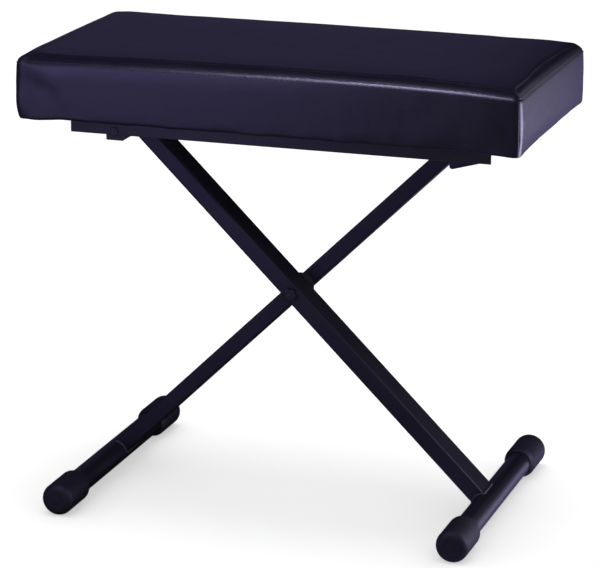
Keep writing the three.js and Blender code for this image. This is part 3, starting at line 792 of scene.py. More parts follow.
def seat_skin(inset=0.0, hem=HEM_WIDTH, detail=1.0):
    """The padded seat as a grid: rows round its walls, then a rectangular grid over its top.

    A row that lies s in from the wall follows the box's outline scaled down by s on every side. Its
    point is q + R * n: q is the scaled outline's point pulled in by the corner radius R, which is the
    wall's less s, and n the unit vector from q to that outline.
    The top's outermost line is the last of those rows. The top arches along its length and crowns
    in its middle, the walls bulge at half height, and `detail` scales the creases and gathers.
    Returns points, quads, the number of wall rows and the number of points in each.
    """
    half_x, half_y = SEAT_HALF_X - inset, SEAT_HALF_Y - inset
    xs = spaced(half_x, (0, 1.0, 2.2, 3.8, 6, 9, 13, 18, 24))
    ys = spaced(half_y, (0, 1.0, 2.2, 3.8, 6, 9, 13, 18, 24))
    profile = seat_profile(inset, hem)
    i, j = perimeter(xs, ys)
    px, py = xs[i][None], ys[j][None]
    s, z = profile[:, :1], profile[:, 1:]
    height = (z - SEAT_LOW[2]) / SEAT_HEIGHT
    radius = np.maximum(corner_radius(px, py, height) - inset - s, SMALLEST_CORNER)
    row_x, row_y = px * (half_x - s) / half_x, py * (half_y - s) / half_y
    qx = np.clip(row_x, s - half_x + radius, half_x - s - radius)
    qy = np.clip(row_y, s - half_y + radius, half_y - s - radius)
    nx, ny = row_x - qx, row_y - qy
    length = np.hypot(nx, ny)
    nx, ny = nx / length, ny / length
    near_corner = np.exp(-((np.hypot(half_x - abs(px), half_y - abs(py)) / (26 * MM)) ** 2))
    bulge = SIDE_BULGE * np.sin(math.pi * np.clip(height, 0, 1) ** 0.9) * (1 - 0.8 * near_corner)
    on_front, on_rear = py <= -half_y + 1e-9, py >= half_y - 1e-9
    on_right = px >= half_x - 1e-9
    low_z = z - SEAT_LOW[2]
    dents = np.where(on_front, crease_depth(px + half_x, low_z + 0 * px, FRONT_CREASES), 0)
    dents += np.where(on_rear, crease_depth(half_x - px, low_z + 0 * px, FRONT_CREASES), 0)
    side = crease_depth(np.where(on_right, py + half_y, half_y - py), low_z + 0 * px, END_CREASES)
    dents += np.where(~on_front & ~on_rear, side, 0)
    around = np.concatenate([[0], np.cumsum(np.hypot(np.diff(px[0]), np.diff(py[0])))])[None]
    ripple = gathers(around + 0 * z, 3, [(0.031, 0.28 * MM), (0.047, 0.40 * MM), (0.083, 0.35 * MM)])
    dents += ripple * np.exp(-((low_z / (9 * MM)) ** 2)) * np.where(s > 0.1 * MM, 0.3, 1)
    # The front's upper edge has softened on the left, so it slopes back and sinks a little there.
    # What belongs to one wall fades out at its corners, so that neighbouring walls meet.
    slack = np.where(on_front, 1 - smoothstep((px / half_x + 0.15) / 0.8), 0) * smoothstep((height - 0.62) / 0.38)
    slack = slack * smoothstep((px + half_x) / CORNER_FADE)
    ends = END_BULGE * np.sin(math.pi * np.clip(height, 0, 1) ** 0.8) * smoothstep((half_y - abs(py)) / CORNER_FADE)
    tucked = np.hypot(px + half_x, py + half_y) / (12 * MM)
    tuck = 3.5 * MM * np.exp(-(tucked**2) - (low_z / (9 * MM)) ** 2 - (s / (6 * MM)) ** 2)
    # Where the board's edge is behind the cover, a crease can only press in by BOARD_PRESS.
    behind = 1 - smoothstep((low_z - BOARD_TOP_HEIGHT) / (9 * MM))
    pressed = BOARD_PRESS * np.tanh(dents / BOARD_PRESS)
    dents = np.where(dents > 0, dents + (pressed - dents) * behind, dents)
    out = bulge + ends - tuck - dents * detail - SOFT_EDGE * slack
    x = qx + (radius + out) * nx
    y = qy + (radius + out) * ny
    lift = corner_lift(px, py, half_x, half_y) * (1 - smoothstep(low_z / (34 * MM)))
    hem_wave = gathers(around + 0 * z, 11, [(0.052, 0.45 * MM), (0.091, 0.5 * MM), (0.021, 0.18 * MM)])
    hem_wave = hem_wave * np.where(on_right, 0.25, 1)
    # The turn-under lies flat below the board: only its outer edge waves, and never up into the board.
    edge_shift = lift + hem_wave * np.exp(-((low_z / (12 * MM)) ** 2))
    edge_shift = edge_shift * np.exp(-((s / (8 * MM)) ** 2))
    edge_shift = np.where(low_z < BOARD_TOP_HEIGHT, np.minimum(edge_shift, BOARD_PRESS), edge_shift)
    z = z - 0.45 * SOFT_EDGE * slack + detail * edge_shift
    walls = np.stack([x, y, z + 0 * x], axis=2)
    gx, gy = np.meshgrid(xs, ys, indexing="ij")
    shrink = profile[-1, 0]
    top = np.stack([
        gx * (half_x - shrink) / half_x,
        gy * (half_y - shrink) / half_y,
        np.full_like(gx, profile[-1, 1]),
    ], axis=2)
    shift = np.zeros_like(top)
    shift[i, j] = walls[-1] - top[i, j]
    top += carried_in(shift, (xs / half_x + 1) / 2, (ys / half_y + 1) / 2)
    count = len(i)
    rows = len(profile)
    number = np.zeros(gx.shape, dtype=int)
    number[1:-1, 1:-1] = rows * count + np.arange((len(xs) - 2) * (len(ys) - 2)).reshape(len(xs) - 2, -1)
    number[i, j] = (rows - 1) * count + np.arange(count)
    points = np.concatenate([walls.reshape(-1, 3), top[1:-1, 1:-1].reshape(-1, 3)])
    fraction_x, fraction_y = points[:, 0] / half_x, points[:, 1] / half_y
    weight = smoothstep((points[:, 2] - SEAT_LOW[2]) / SEAT_HEIGHT)
    arch = REAR_ARCH + (FRONT_ARCH - REAR_ARCH) * np.clip((1 - fraction_y) / 2, 0, 1)
    points[:, 2] += arch * np.clip(1 - fraction_x**2, 0, 1) * weight
    points[:, 2] += CROWN * np.clip(1 - fraction_x**8, 0, 1) * np.clip(1 - fraction_y**6, 0, 1) * weight
    from_left = (points[:, 0] + half_x) / (55 * MM)
    points[:, 2] += LEFT_RISE * np.exp(-(from_left**2)) * (1 - 0.4 * fraction_y**2) * weight
    for (sx, sy), (drop, spread) in CORNER_DROOP.items():
        away = np.hypot(points[:, 0] - sx * half_x, points[:, 1] - sy * half_y) / (spread * MM)
        points[:, 2] -= drop * MM * np.exp(-away**2) * weight
    cells = np.stack([number[:-1, :-1], number[1:, :-1], number[1:, 1:], number[:-1, 1:]], axis=2).reshape(-1, 4)
    quads = np.concatenate([grid_quads(rows, count, close_columns=True), cells])
    return points, quads, rows, count


def corner_lift(px, py, half_x, half_y):
    """How far the hem rises at each corner, fading along both its walls. It sags where negative."""
    lift = np.zeros_like(px)
    for (sx, sy), rise in {(-1, -1): -2.8, (1, -1): -3.4, (1, 1): -1.8, (-1, 1): 0}.items():
        away = np.hypot(px - sx * half_x, py - sy * half_y)
        lift = lift + rise * MM * np.exp(-((away / (36 * MM)) ** 2))
    return lift


def puff(points, quads, rows, count):
    """Blows the cover up as cloth over its padding, and returns the points after it.

    The hem and the foot of the wall are pinned. Pressure acts from inside without gravity. Only the
    movement along each point's normal is kept, evened out between neighbours. The padding behind the
    cover stops it: it ends at PUFF_LIMIT outwards and PRESS_LIMIT inwards, along a tanh curve so that
    the limit leaves no edge.
    """
    piece = mesh_object("cover_cloth", points, quads, sharp=None, closed=False)
    wall = (np.arange(rows)[:, None] + np.zeros(count)[None]).ravel()
    pinned = piece.vertex_groups.new(name="pinned")
    held = np.nonzero(wall < 12)[0]
    pinned.add(held.tolist(), 1.0, "REPLACE")
    cloth = piece.modifiers.new("cloth", "CLOTH")
    settings = cloth.settings
    settings.quality = 6
    settings.mass = 0.45
    settings.tension_stiffness = 22
    settings.compression_stiffness = 22
    settings.shear_stiffness = 12
    settings.bending_stiffness = 1.2
    settings.vertex_group_mass = "pinned"
    settings.use_pressure = True
    settings.uniform_pressure_force = 3.2
    settings.shrink_min = -0.006
    settings.effector_weights.gravity = 0
    cloth.collision_settings.use_collision = False
    scene = bpy.context.scene
    for number in range(1, 21):
        scene.frame_set(number)
    shown = piece.evaluated_get(bpy.context.evaluated_depsgraph_get())
    moved = np.empty(len(points) * 3, dtype=np.float32)
    shown.data.vertices.foreach_get("co", moved)
    moved = moved.reshape(-1, 3).astype(float)
    scene.frame_set(1)
    normals = np.empty(len(points) * 3, dtype=np.float32)
    piece.data.vertices.foreach_get("normal", normals)
    normals = normals.reshape(-1, 3).astype(float)
    bpy.data.objects.remove(piece)
    step = moved - points
    out = np.sum(step * normals, axis=1)
    sides = np.concatenate([quads[:, [k, (k + 1) % 4]] for k in range(4)])
    here, there = np.concatenate([sides, sides[:, ::-1]]).T
    neighbours = np.bincount(here, minlength=len(points))
    for _ in range(EVENING_PASSES):
        out = (out + np.bincount(here, weights=out[there], minlength=len(points)) / neighbours) / 2
    limit = np.where(out > 0, PUFF_LIMIT, PRESS_LIMIT)
    return points + (limit * np.tanh(out / limit))[:, None] * normals


def finer(piece):
    """Applies one subdivision to a piece's mesh."""
    piece.modifiers.new("finer", "SUBSURF").levels = 1
    piece.modifiers["finer"].render_levels = 1
    shown = piece.evaluated_get(bpy.context.evaluated_depsgraph_get())
    mesh = bpy.data.meshes.new_from_object(shown)
    piece.modifiers.clear()
    piece.data = mesh
    return piece


def seam_line(points, rows, count, row):
    """The points of one row of the wall, closed round the seat."""
    return points[: rows * count].reshape(rows, count, 3)[row]


def even_path(path, spacing, closed=True):
    """The same path with evenly spaced points."""
    whole = np.concatenate([path, path[:1]]) if closed else path
    length = np.concatenate([[0], np.cumsum(np.linalg.norm(np.diff(whole, axis=0), axis=1))])
    number = max(int(round(length[-1] / spacing)), 2)
    at = np.linspace(0, length[-1], number + 1)[: number if closed else number + 1]
    return np.stack([np.interp(at, length, whole[:, k]) for k in range(3)], axis=1)


def surface_tree(piece):
    mesh = piece.data
    corners = [tuple(v.co) for v in mesh.vertices]
    return BVHTree.FromPolygons(corners, [tuple(p.vertices) for p in mesh.polygons])


def on_surface(tree, places):
    """Each place moved to the nearest point of a surface, with the surface's normal there."""
    found = [tree.find_nearest(Vector(place)) for place in places]
    return np.array([hit[0] for hit in found]), np.array([hit[1] for hit in found])


def stitch_row(name, tree, path, pitch, length, radius, lift, closed=True):
    """Stitches along a path on the cover: one bowed thread in each pitch."""
    centres = even_path(path, pitch, closed)
    places, normals = on_surface(tree, centres)
    if closed:
        ahead = np.roll(places, -1, axis=0) - np.roll(places, 1, axis=0)
    else:
        ahead = np.gradient(places, axis=0)
    shape, quads = capsule(length, radius)
    row = copies(name, shape, quads, places + normals * lift, ahead, normals)
    return dress(row, "thread", "seat")


def upholstery():
    """The cover, its seam cord and stitches, and the foam."""
    points, quads, rows, count = seat_skin()
    points = puff(points, quads, rows, count)
    cover = finer(mesh_object("cover_leather", points, quads, sharp=None, closed=False))
    tree = surface_tree(cover)
    wall = cover.modifiers.new("thickness", "SOLIDIFY")
    wall.thickness = LEATHER_THICKNESS
    wall.offset = -1
    dress(cover, "vinyl", "seat", ["seat_cover"])

    profile = seat_profile(0.0, HEM_WIDTH)
    shoulder = int(np.argmin(abs(profile[:, 1] - (SEAT_HIGH[2] - TOP_SEAM_DROP)) + 10 * (profile[:, 0] > 4 * MM)))
    seam, normals = on_surface(tree, even_path(seam_line(points, rows, count, shoulder), 3 * MM))
    ridge = wire("top_seam", seam - normals * 0.35 * MM, 0.85 * MM, (0, 0, 1), sides=8, closed=True)
    dress(ridge, "vinyl", "seat")
    lower = even_path(seam_line(points, rows, count, shoulder - 2), 4 * MM)
    stitch_row("top_stitches", tree, lower, 6.2 * MM, 4.3 * MM, 0.42 * MM, 0.05 * MM)

    block_points, block_quads, block_rows, block_count = seat_skin(FOAM_INSET, None, 0.0)
    foam_low, _ = box("foam_pad")
    block_points[:, 2] = np.maximum(block_points[:, 2], foam_low[2])
    ring = np.arange(block_count)
    hub = len(block_points)
    block_points = np.concatenate([block_points, [[0, 0, foam_low[2]]]])
    floor_fan = np.stack([np.full(block_count, hub), (ring + 1) % block_count, ring], axis=1)
    block = mesh_object("foam_block", block_points, block_quads, floor_fan, sharp=None)
    dress(block, "foam", "seat", ["foam_pad"])
    return cover, tree, points, rows, count


def corner_seams(tree, points, rows, count):
    """A raised seam down each corner of the border."""
    walls = points[: rows * count].reshape(rows, count, 3)
    profile = seat_profile(0.0, HEM_WIDTH)
    first = int(np.argmax(profile[:, 0] < 0.5 * MM))
    last = int(np.argmin(abs(profile[:, 1] - (SEAT_HIGH[2] - TOP_SEAM_DROP))))
    level = walls[first + 2]
    for label, sx, sy in (("front_left", -1, -1), ("front_right", 1, -1), ("rear_right", 1, 1), ("rear_left", -1, 1)):
        column = int(np.argmax(level[:, 0] * sx + level[:, 1] * sy))
        line = walls[first - 1 : last + 1, column]
        path, normals = on_surface(tree, even_path(line, 3 * MM, closed=False))
        taper = 0.75 * MM * np.sqrt(np.clip(np.sin(np.linspace(0.12, math.pi - 0.12, len(path))), 0, 1))
        seam = wire(f"corner_seam_{label}", path - normals * 0.2 * MM, taper, (sx, sy, 0.0), sides=8)
        dress(seam, "vinyl", "seat")


# ---------------------------------------------------------------------------------------
# Legs and feet
# ---------------------------------------------------------------------------------------

LEG_WALL = 1.5 * MM
LEG_CORNER = 2.5 * MM
GAP = 0.3 * MM
EASE = 0.3 * MM  # rounding of a cut edge
FOOT_RADIUS = (box("foot_bar_a")[1][0] - box("foot_bar_a")[0][0]) / 2
CAP_RADIUS = (box("foot_cap_a_front")[1][0] - box("foot_cap_a_front")[0][0]) / 2
UPPER_BAR_A_HALF = (box("upper_bar_a")[1][0] - box("upper_bar_a")[0][0]) / 2
UPPER_BAR_B_RADIUS = (box("upper_bar_b")[1][0] - box("upper_bar_b")[0][0]) / 2
LEG_WIDTH = 20 * MM
BOLT_FLATS = 13 * MM


class Leg:
    """One leg's place. Lengths s run along it from the crossing bolt, t across it."""

    def __init__(self, letter, upper):
        foot = middle(f"foot_bar_{letter}")
        self.letter = letter
        self.body = f"leg_{letter}"
        self.foot = foot[[0, 2]]
        self.upper = np.array(upper)[[0, 2]]
        self.bolt = BOLT[[0, 2]]
        along = self.foot - self.upper
        self.along = along / np.linalg.norm(along)
        self.across = np.array([-self.along[1], self.along[0]])
        self.to_foot = np.linalg.norm(self.foot - self.bolt)
        self.to_upper = np.linalg.norm(self.bolt - self.upper)
        low, high = box(f"leg_{letter}_tube")
        self.low_y, self.high_y = low[1], high[1]

    def place(self, s, t, y):
        """Points at bolt + s * along + t * across, at depth y."""
        s, t, y = np.broadcast_arrays(s, t, y)
        x = self.bolt[0] + s * self.along[0] + t * self.across[0]
        z = self.bolt[1] + s * self.along[1] + t * self.across[1]
        return np.stack([x, y, z], axis=-1)

    def foot_end(self, t):
        """Where the tube's end meets the round foot bar: s = L - sqrt(R^2 - t^2)."""
        reach = FOOT_RADIUS + GAP
        return self.to_foot - np.sqrt(reach**2 - t**2)

    def upper_end(self, t):
        """Where the tube meets its upper bar, square on leg A and round on leg B.

        The square's side is met at the nearer of (h - across_x t) / along_x and
        (h + across_z t) / -along_z. The round bar is met at sqrt(r^2 - t^2), or 3 mm below its
        axis where the tube is wider than the bar.
        """
        if self.letter == "a":
            h = UPPER_BAR_A_HALF + GAP
            beside = (h - self.across[0] * t) / self.along[0]
            below = (h + self.across[1] * t) / -self.along[1]
            return np.minimum(beside, below) - self.to_upper
        reach = UPPER_BAR_B_RADIUS + GAP
        return np.maximum(3 * MM, np.sqrt(np.maximum(reach**2 - t**2, 0))) - self.to_upper


LEGS = [Leg("a", SEAT_PIVOT), Leg("b", middle("notch_pin_front"))]


def dense(loop, step):
    """A closed loop with every side longer than step cut into equal parts."""
    parts = []
    for here, ahead in zip(loop, np.roll(loop, -1, axis=0)):
        count = max(1, math.ceil(np.linalg.norm(ahead - here) / step))
        parts.append(here + (ahead - here) * (np.arange(count) / count)[:, None])
    return np.concatenate(parts)


def circle(radius, sides, centre=(0, 0)):
    angle = np.arange(sides) / sides * TURN
    return np.stack([centre[0] + radius * np.cos(angle), centre[1] + radius * np.sin(angle)], axis=1)


def hollow(name, outer, inner, near, far, place=upright, rim=EASE, sharp=35):
    """A bar between two matching flat loops, from depth near to far, with eased outer rims."""
    eased = offset_loop(outer, rim)
    rows = [(eased, near), (outer, near + rim), (outer, far - rim), (eased, far), (inner, far), (inner, near)]
    sections = [place(loop[:, 0], loop[:, 1], np.full(len(loop), depth)) for loop, depth in rows]
    return loft(name, np.stack(sections), sharp=sharp, closed_rows=True)


def pipe(name, outer, inner, near, far, x, z, sides=96):
    """A round tube along Y with eased rims."""
    profile = [
        (outer - EASE, near), (outer, near + EASE), (outer, far - EASE), (outer - EASE, far),
        (inner + EASE, far), (inner, far - EASE), (inner, near + EASE), (inner + EASE, near)]
    return turned(name, profile, x, z, sides, closed=True)


def leg_tube(leg):
    half_y = (leg.high_y - leg.low_y) / 2
    middle_y = (leg.high_y + leg.low_y) / 2
    outer = dense(rounded_rectangle(half_y, LEG_WIDTH / 2, LEG_CORNER, centre=(middle_y, 0)), 1.6 * MM)
    eased, inner = offset_loop(outer, EASE), offset_loop(outer, LEG_WALL)
    start, end = leg.upper_end(outer[:, 1]), leg.foot_end(outer[:, 1])
    sections = [
        (eased, leg.upper_end(eased[:, 1])),
        (outer, start + EASE),
        (outer, (start + end) / 2),
        (outer, end - EASE),
        (eased, leg.foot_end(eased[:, 1])),
        (inner, leg.foot_end(inner[:, 1])),
        (inner, leg.upper_end(inner[:, 1]))]
    rings = np.stack([leg.place(s, loop[:, 1], loop[:, 0]) for loop, s in sections])
    name = f"leg_{leg.letter}_box_tube"
    dress(loft(name, rings, sharp=35, closed_rows=True), "frame_paint", leg.body, [
        f"leg_{leg.letter}_tube"])
    for label, ends, shift in (("upper", leg.upper_end, 0.4 * MM), ("foot", leg.foot_end, -0.4 * MM)):
        weld_bead(leg, f"weld_{leg.letter}_{label}", leg.place(ends(outer[:, 1]) + shift, outer[:, 1], outer[:, 0]))


def weld_bead(leg, name, path):
    """A bead round a leg's end, its radius rippled as R * (0.84 + 0.2 * |sin(pi * s / pitch)|)."""
    path = even_path(path, 0.45 * MM)
    s = np.arange(len(path)) * 0.45 * MM
    pitch = 1.9 * MM
    swell = gathers(s, len(name), [(0.013, 0.09), (0.031, 0.07)])
    radius = 1.75 * MM * (0.84 + 0.2 * abs(np.sin(math.pi * s / pitch)) + swell)
    reference = (leg.along[0], 0, leg.along[1])
    dress(wire(name, path, radius, reference, sides=8, closed=True), "weld", leg.body)


def foot(leg):
    """The foot bar and its two moulded rubber caps."""
    x, z = leg.foot
    low, high = box(f"foot_bar_{leg.letter}")
    bar = pipe(f"foot_tube_{leg.letter}", FOOT_RADIUS, FOOT_RADIUS - LEG_WALL, low[1], high[1], x, z)
    dress(bar, "frame_paint", leg.body, [f"foot_bar_{leg.letter}"])
    for label, sign in (("front", -1), ("rear", 1)):
        low, high = box(f"foot_cap_{leg.letter}_{label}")
        end = max(abs(low[1]), abs(high[1]))
        length = high[1] - low[1]
        profile = [(radius, sign * (end - depth)) for radius, depth in cap_profile(length)]
        cap = turned(f"rubber_cap_{leg.letter}_{label}", profile, x, z)
        for vertex in cap.data.vertices:
            vertex.co.z = max(vertex.co.z, 0.02 * MM)
        dress(cap, "rubber", leg.body, [f"foot_cap_{leg.letter}_{label}"])


def cap_profile(length):
    """A foot cap's section as (radius, depth from its end): a shallow ring moulded in the end, a
    round edge, a long wall, a tapered lip and the bore."""
    edge = 8.8 * MM
    lip = 7.5 * MM
    bore = FOOT_RADIUS + 0.12 * MM
    ring = [(r * MM, d * MM) for r, d in ((0, 0), (5.6, 0), (6.1, 0.15), (7.2, 0.15), (7.7, 0))]
    turn = np.linspace(0, math.pi / 2, 12)
    rounding = [(CAP_RADIUS - edge * (1 - math.sin(a)), edge * (1 - math.cos(a))) for a in turn]
    wall = [(CAP_RADIUS, length * f) for f in (0.3, 0.5)]
    taper = []
    for t in np.linspace(0, 1, 9):
        taper.append((CAP_RADIUS - (CAP_RADIUS - bore - 0.9 * MM) * t**1.7, length - lip * (1 - t)))
    mouth = [(bore + 0.5 * MM, length), (bore, length - 0.4 * MM), (bore, 6 * MM), (0, 6 * MM)]
    return ring + rounding + wall + taper + mouth


def upper_bars():
    """The square bar with its nylon bushes on leg A, the round one with its pins on leg B."""
    a, b = LEGS
    low, high = box("upper_bar_a")
    loop = rounded_rectangle(UPPER_BAR_A_HALF, UPPER_BAR_A_HALF, 2 * MM, centre=a.upper)
    bar = hollow("square_upper_tube", loop, offset_loop(loop, LEG_WALL), low[1], high[1])
    dress(bar, "frame_paint", "leg_a", ["upper_bar_a"])
    for label, sign in (("front", -1), ("rear", 1)):
        low, high = box(f"pivot_bush_{label}")
        outer_y, inner_y = (low[1], high[1]) if sign < 0 else (high[1], low[1])
        flange_y = outer_y - sign * 1.5 * MM
        bore = 4.3 * MM
        for part, half, start, stop in (
            ("flange", UPPER_BAR_A_HALF, outer_y, flange_y),
            ("plug", UPPER_BAR_A_HALF - LEG_WALL - GAP, flange_y, inner_y),
        ):
            loop = dense(rounded_rectangle(half, half, 1.6 * MM, centre=a.upper), 2 * MM)
            spoke = loop - a.upper
            hole = a.upper + spoke / np.linalg.norm(spoke, axis=1, keepdims=True) * bore
            bush = hollow(f"bush_{part}_{label}", loop, hole, min(start, stop), max(start, stop))
            dress(bush, "nylon", "leg_a", [f"pivot_bush_{label}"] if part == "flange" else ())
    low, high = box("upper_bar_b")
    inner = UPPER_BAR_B_RADIUS - LEG_WALL
    bar = pipe("round_upper_tube", UPPER_BAR_B_RADIUS, inner, low[1], high[1], *b.upper, sides=64)
    dress(bar, "frame_paint", "leg_b", ["upper_bar_b"])
    for label, sign in (("front", -1), ("rear", 1)):
        low, high = box(f"notch_pin_{label}")
        tip = max(abs(low[1]), abs(high[1]))
        root = min(abs(low[1]), abs(high[1]))
        collar = abs(box("upper_bar_b")[1][1]) + GAP
        profile = [
            (0, tip), (3.6 * MM, tip), (4.6 * MM, tip - 0.4 * MM), (5 * MM, tip - 1.2 * MM),
            (5 * MM, collar + 2.4 * MM), (5.5 * MM, collar + 2.0 * MM), (8.2 * MM, collar + 2.0 * MM),
            (8.5 * MM, collar + 1.7 * MM), (8.5 * MM, collar), (inner - GAP, collar),
            (inner - GAP, root), (0, root)]
        pin = turned(f"stepped_pin_{label}", [(r, sign * y) for r, y in profile], *b.upper, sides=48)
        dress(pin, "zinc", "leg_b", [f"notch_pin_{label}"])


def hexagon_bar(name, flats, near, far, x, z, hole=0, turn=0.2, chamfer=1.0 * MM):
    """A hexagonal head or nut along Y, its corners cut at both ends by a 30 degree cone.

    The radius at an angle is the hexagon's, flats / 2 / cos(angle to the nearest flat), but no
    more than the cone's, flats / 2 + 1.73 * depth.
    """
    angle = np.arange(72) / 72 * TURN
    off = (angle + math.pi / 6) % (math.pi / 3) - math.pi / 6
    hexagon = flats / 2 / np.cos(off)
    depths = np.array([0, 0.25, 0.5, 0.75, 1.0]) * chamfer
    rows = [(near + d, d) for d in depths] + [(far - d, d) for d in depths[::-1]]
    rings = []
    for y, depth in rows:
        radius = np.minimum(hexagon, flats / 2 + 1.73 * depth)
        rings.append(np.stack([x + radius * np.cos(angle + turn), np.full(72, y), z + radius * np.sin(angle + turn)], axis=1))
    if not hole:
        return loft(name, np.stack(rings), sharp=25)
    for y in (far, near):
        rings.append(np.stack([x + hole * np.cos(angle + turn), np.full(72, y), z + hole * np.sin(angle + turn)], axis=1))
    return loft(name, np.stack(rings), sharp=25, closed_rows=True)


def crossing():
    """The bolt through both legs, its washers, its lock nut and the disc between the legs."""
    x, z = BOLT[[0, 2]]
    low, high = box("crossing_bolt")
    head_y = box("crossing_washer_front")[0][1] - GAP
    head = hexagon_bar("bolt_head", BOLT_FLATS, low[1], head_y, x, z, turn=0.35)
    dress(head, "black_steel", "leg_a", ["crossing_bolt"])
    ridges = []
    for i, y in enumerate(np.arange(high[1] - 11 * MM, high[1] - 1.2 * MM, 0.55 * MM)):
        ridges.append(((3.95 if i % 2 else 3.45) * MM, y))
    profile = [(0, head_y - 1 * MM), (3.95 * MM, head_y - 1 * MM)] + ridges
    profile += [(3.3 * MM, high[1] - 0.6 * MM), (2.7 * MM, high[1]), (0, high[1])]
    dress(turned("bolt_shank", profile, x, z, sides=48), "black_steel", "leg_a")
    for label in ("front", "rear"):
        low, high = box(f"crossing_washer_{label}")
        washer = pipe(f"washer_{label}", 8.5 * MM, 4.3 * MM, low[1], high[1], x, z, sides=64)
        dress(washer, "black_steel", "leg_a", [f"crossing_washer_{label}"])
    low, high = box("crossing_nut")
    nut = hexagon_bar("lock_nut", BOLT_FLATS, low[1], high[1] - 2.2 * MM, x, z, hole=4.05 * MM, turn=0.05)
    dress(nut, "black_steel", "leg_a", ["crossing_nut"])
    collar = pipe("lock_nut_collar", 5.6 * MM, 3.9 * MM, high[1] - 2.4 * MM, high[1], x, z, sides=48)
    dress(collar, "black_steel", "leg_a")
    low, high = box("crossing_disc")
    profile = [(4.3 * MM, low[1]), (16 * MM, low[1]), (16 * MM, high[1]), (4.3 * MM, high[1])]
    disc = turned("spacer_disc", profile, x, z, sides=80, closed=True)
    dress(disc, "nylon", "leg_a", ["crossing_disc"])


# ---------------------------------------------------------------------------------------
# Rails, racks and latch
# ---------------------------------------------------------------------------------------


def rails():
    """The two angles under the board, the notched racks and the pivot pins."""
    for label, sign in (("front", -1), ("rear", 1)):
        low, high = box(f"rail_{label}")
        outer = sign * max(abs(low[1]), abs(high[1]))
        inner = sign * min(abs(low[1]), abs(high[1]))
        wall = 2 * MM
        web = outer - sign * wall
        bottom, top = low[2], high[2]
        section = rounded_path([
            (outer, bottom, 0.5 * MM), (outer, top, 3 * MM), (inner, top, 0.5 * MM),
            (inner, top - wall, 0.5 * MM), (web, top - wall, 1.2 * MM), (web, bottom, 0.5 * MM)], closed=True)
        rail = section_bar(f"angle_rail_{label}", section, low[0], high[0])
        dress(rail, "rail_paint", "seat", [f"rail_{label}"])
        low, high = box(f"rack_{label}")
        rack = slab(f"notched_rack_{label}", rack_outline(low, high), upright, low[1], high[1], EASE)
        dress(rack, "zinc", "seat", [f"rack_{label}"])
        low, high = box(f"pivot_pin_{label}")
        far = max(abs(low[1]), abs(high[1]))
        near = min(abs(low[1]), abs(high[1]))
        profile = [
            (0, far - 0.25 * MM), (2.4 * MM, far - 0.2 * MM), (3.6 * MM, far), (4.9 * MM, far - 0.1 * MM),
            (5.5 * MM, far - 0.5 * MM), (5.5 * MM, far - 0.8 * MM), (4 * MM, far - 0.8 * MM),
            (4 * MM, near + 0.5 * MM), (3.5 * MM, near), (0, near)]
        pin = turned(f"seat_pin_{label}", [(r, sign * y) for r, y in profile], *SEAT_PIVOT[[0, 2]], sides=48)
        dress(pin, "rail_paint", "seat", [f"pivot_pin_{label}"])


def rack_outline(low, high):
    """The rack's outline: a plate with a round-topped notch at each height of the seat."""
    radius = 5.4 * MM
    roof = low[2] + 0.6 * MM
    points = [(low[0], low[2])]
    for x in (0.142, 0.170, middle("notch_pin_front")[0]):
        turn = np.linspace(math.pi, 0, 17)
        points += [(x - radius, low[2])]
        points += [(x + radius * math.cos(a), roof + radius * math.sin(a)) for a in turn]
        points += [(x + radius, low[2])]
    points += [(high[0], low[2]), (high[0], high[2]), (low[0], high[2])]
    return np.array(points)


def latch():
    """The latch's rod, plates, return springs and clips."""
    x, z = LATCH_PIVOT[[0, 2]]
    low, high = box("latch_rod")
    end = high[1]
    groove = abs(box("latch_clip_front")[1][1]) + 0.2 * MM
    profile = []
    for sign in (-1, 1):
        half = [(0, end), (2.1 * MM, end), (2.5 * MM, end - 0.5 * MM), (2.5 * MM, groove + 1.2 * MM)]
        half += [(2.1 * MM, groove + 1.1 * MM), (2.1 * MM, groove), (2.5 * MM, groove - 0.1 * MM)]
        half = [(r, sign * y) for r, y in half]
        profile += half if sign < 0 else half[::-1]
    dress(turned("latch_bar", profile, x, z, sides=32), "zinc", "latch", ["latch_rod"])
    outline = latch_outline(x, z)
    for label, sign in (("front", -1), ("rear", 1)):
        low, high = box(f"latch_plate_{label}")
        plate = slab(f"safety_plate_{label}", outline, upright, low[1], high[1], EASE)
        dress(plate, "frame_paint", "latch", [f"latch_plate_{label}"])
        low, high = box(f"latch_clip_{label}")
        arc = np.linspace(math.radians(35), math.radians(325), 40)
        ring = [(x + 5 * MM * math.cos(a), z + 5 * MM * math.sin(a)) for a in arc]
        ring += [(x + 2.6 * MM * math.cos(a), z + 2.6 * MM * math.sin(a)) for a in arc[::-1]]
        clip = slab(f"rod_clip_{label}", np.array(ring), upright, low[1], high[1], 0.15 * MM)
        dress(clip, "zinc", "latch", [f"latch_clip_{label}"])
        coil = latch_coil(x, z, sign)
        spring = wire(f"return_spring_{label}", coil, 0.5 * MM, (0, 1, 0), sides=8)
        dress(spring, "zinc", "latch", [f"latch_spring_{label}"])


def latch_outline(x, z):
    """The latch plate's outline: a round boss, a sloping back, an upright face, a point and a ramp."""
    boss = 5.5 * MM
    turn = np.linspace(0, math.pi * 0.62, 14)
    arc = [(x + boss * math.cos(a), z + boss * math.sin(a)) for a in turn]
    corners = np.array([
        (arc[-1][0], arc[-1][1], 0), (0.205, z - 11 * MM, 2 * MM), (0.205, 0.4355, 3.4 * MM),
        (0.241, 0.4455, 2 * MM), (x + boss, z, 0)])
    return np.concatenate([np.array(arc), rounded_path(corners, 6)[1:-1]])


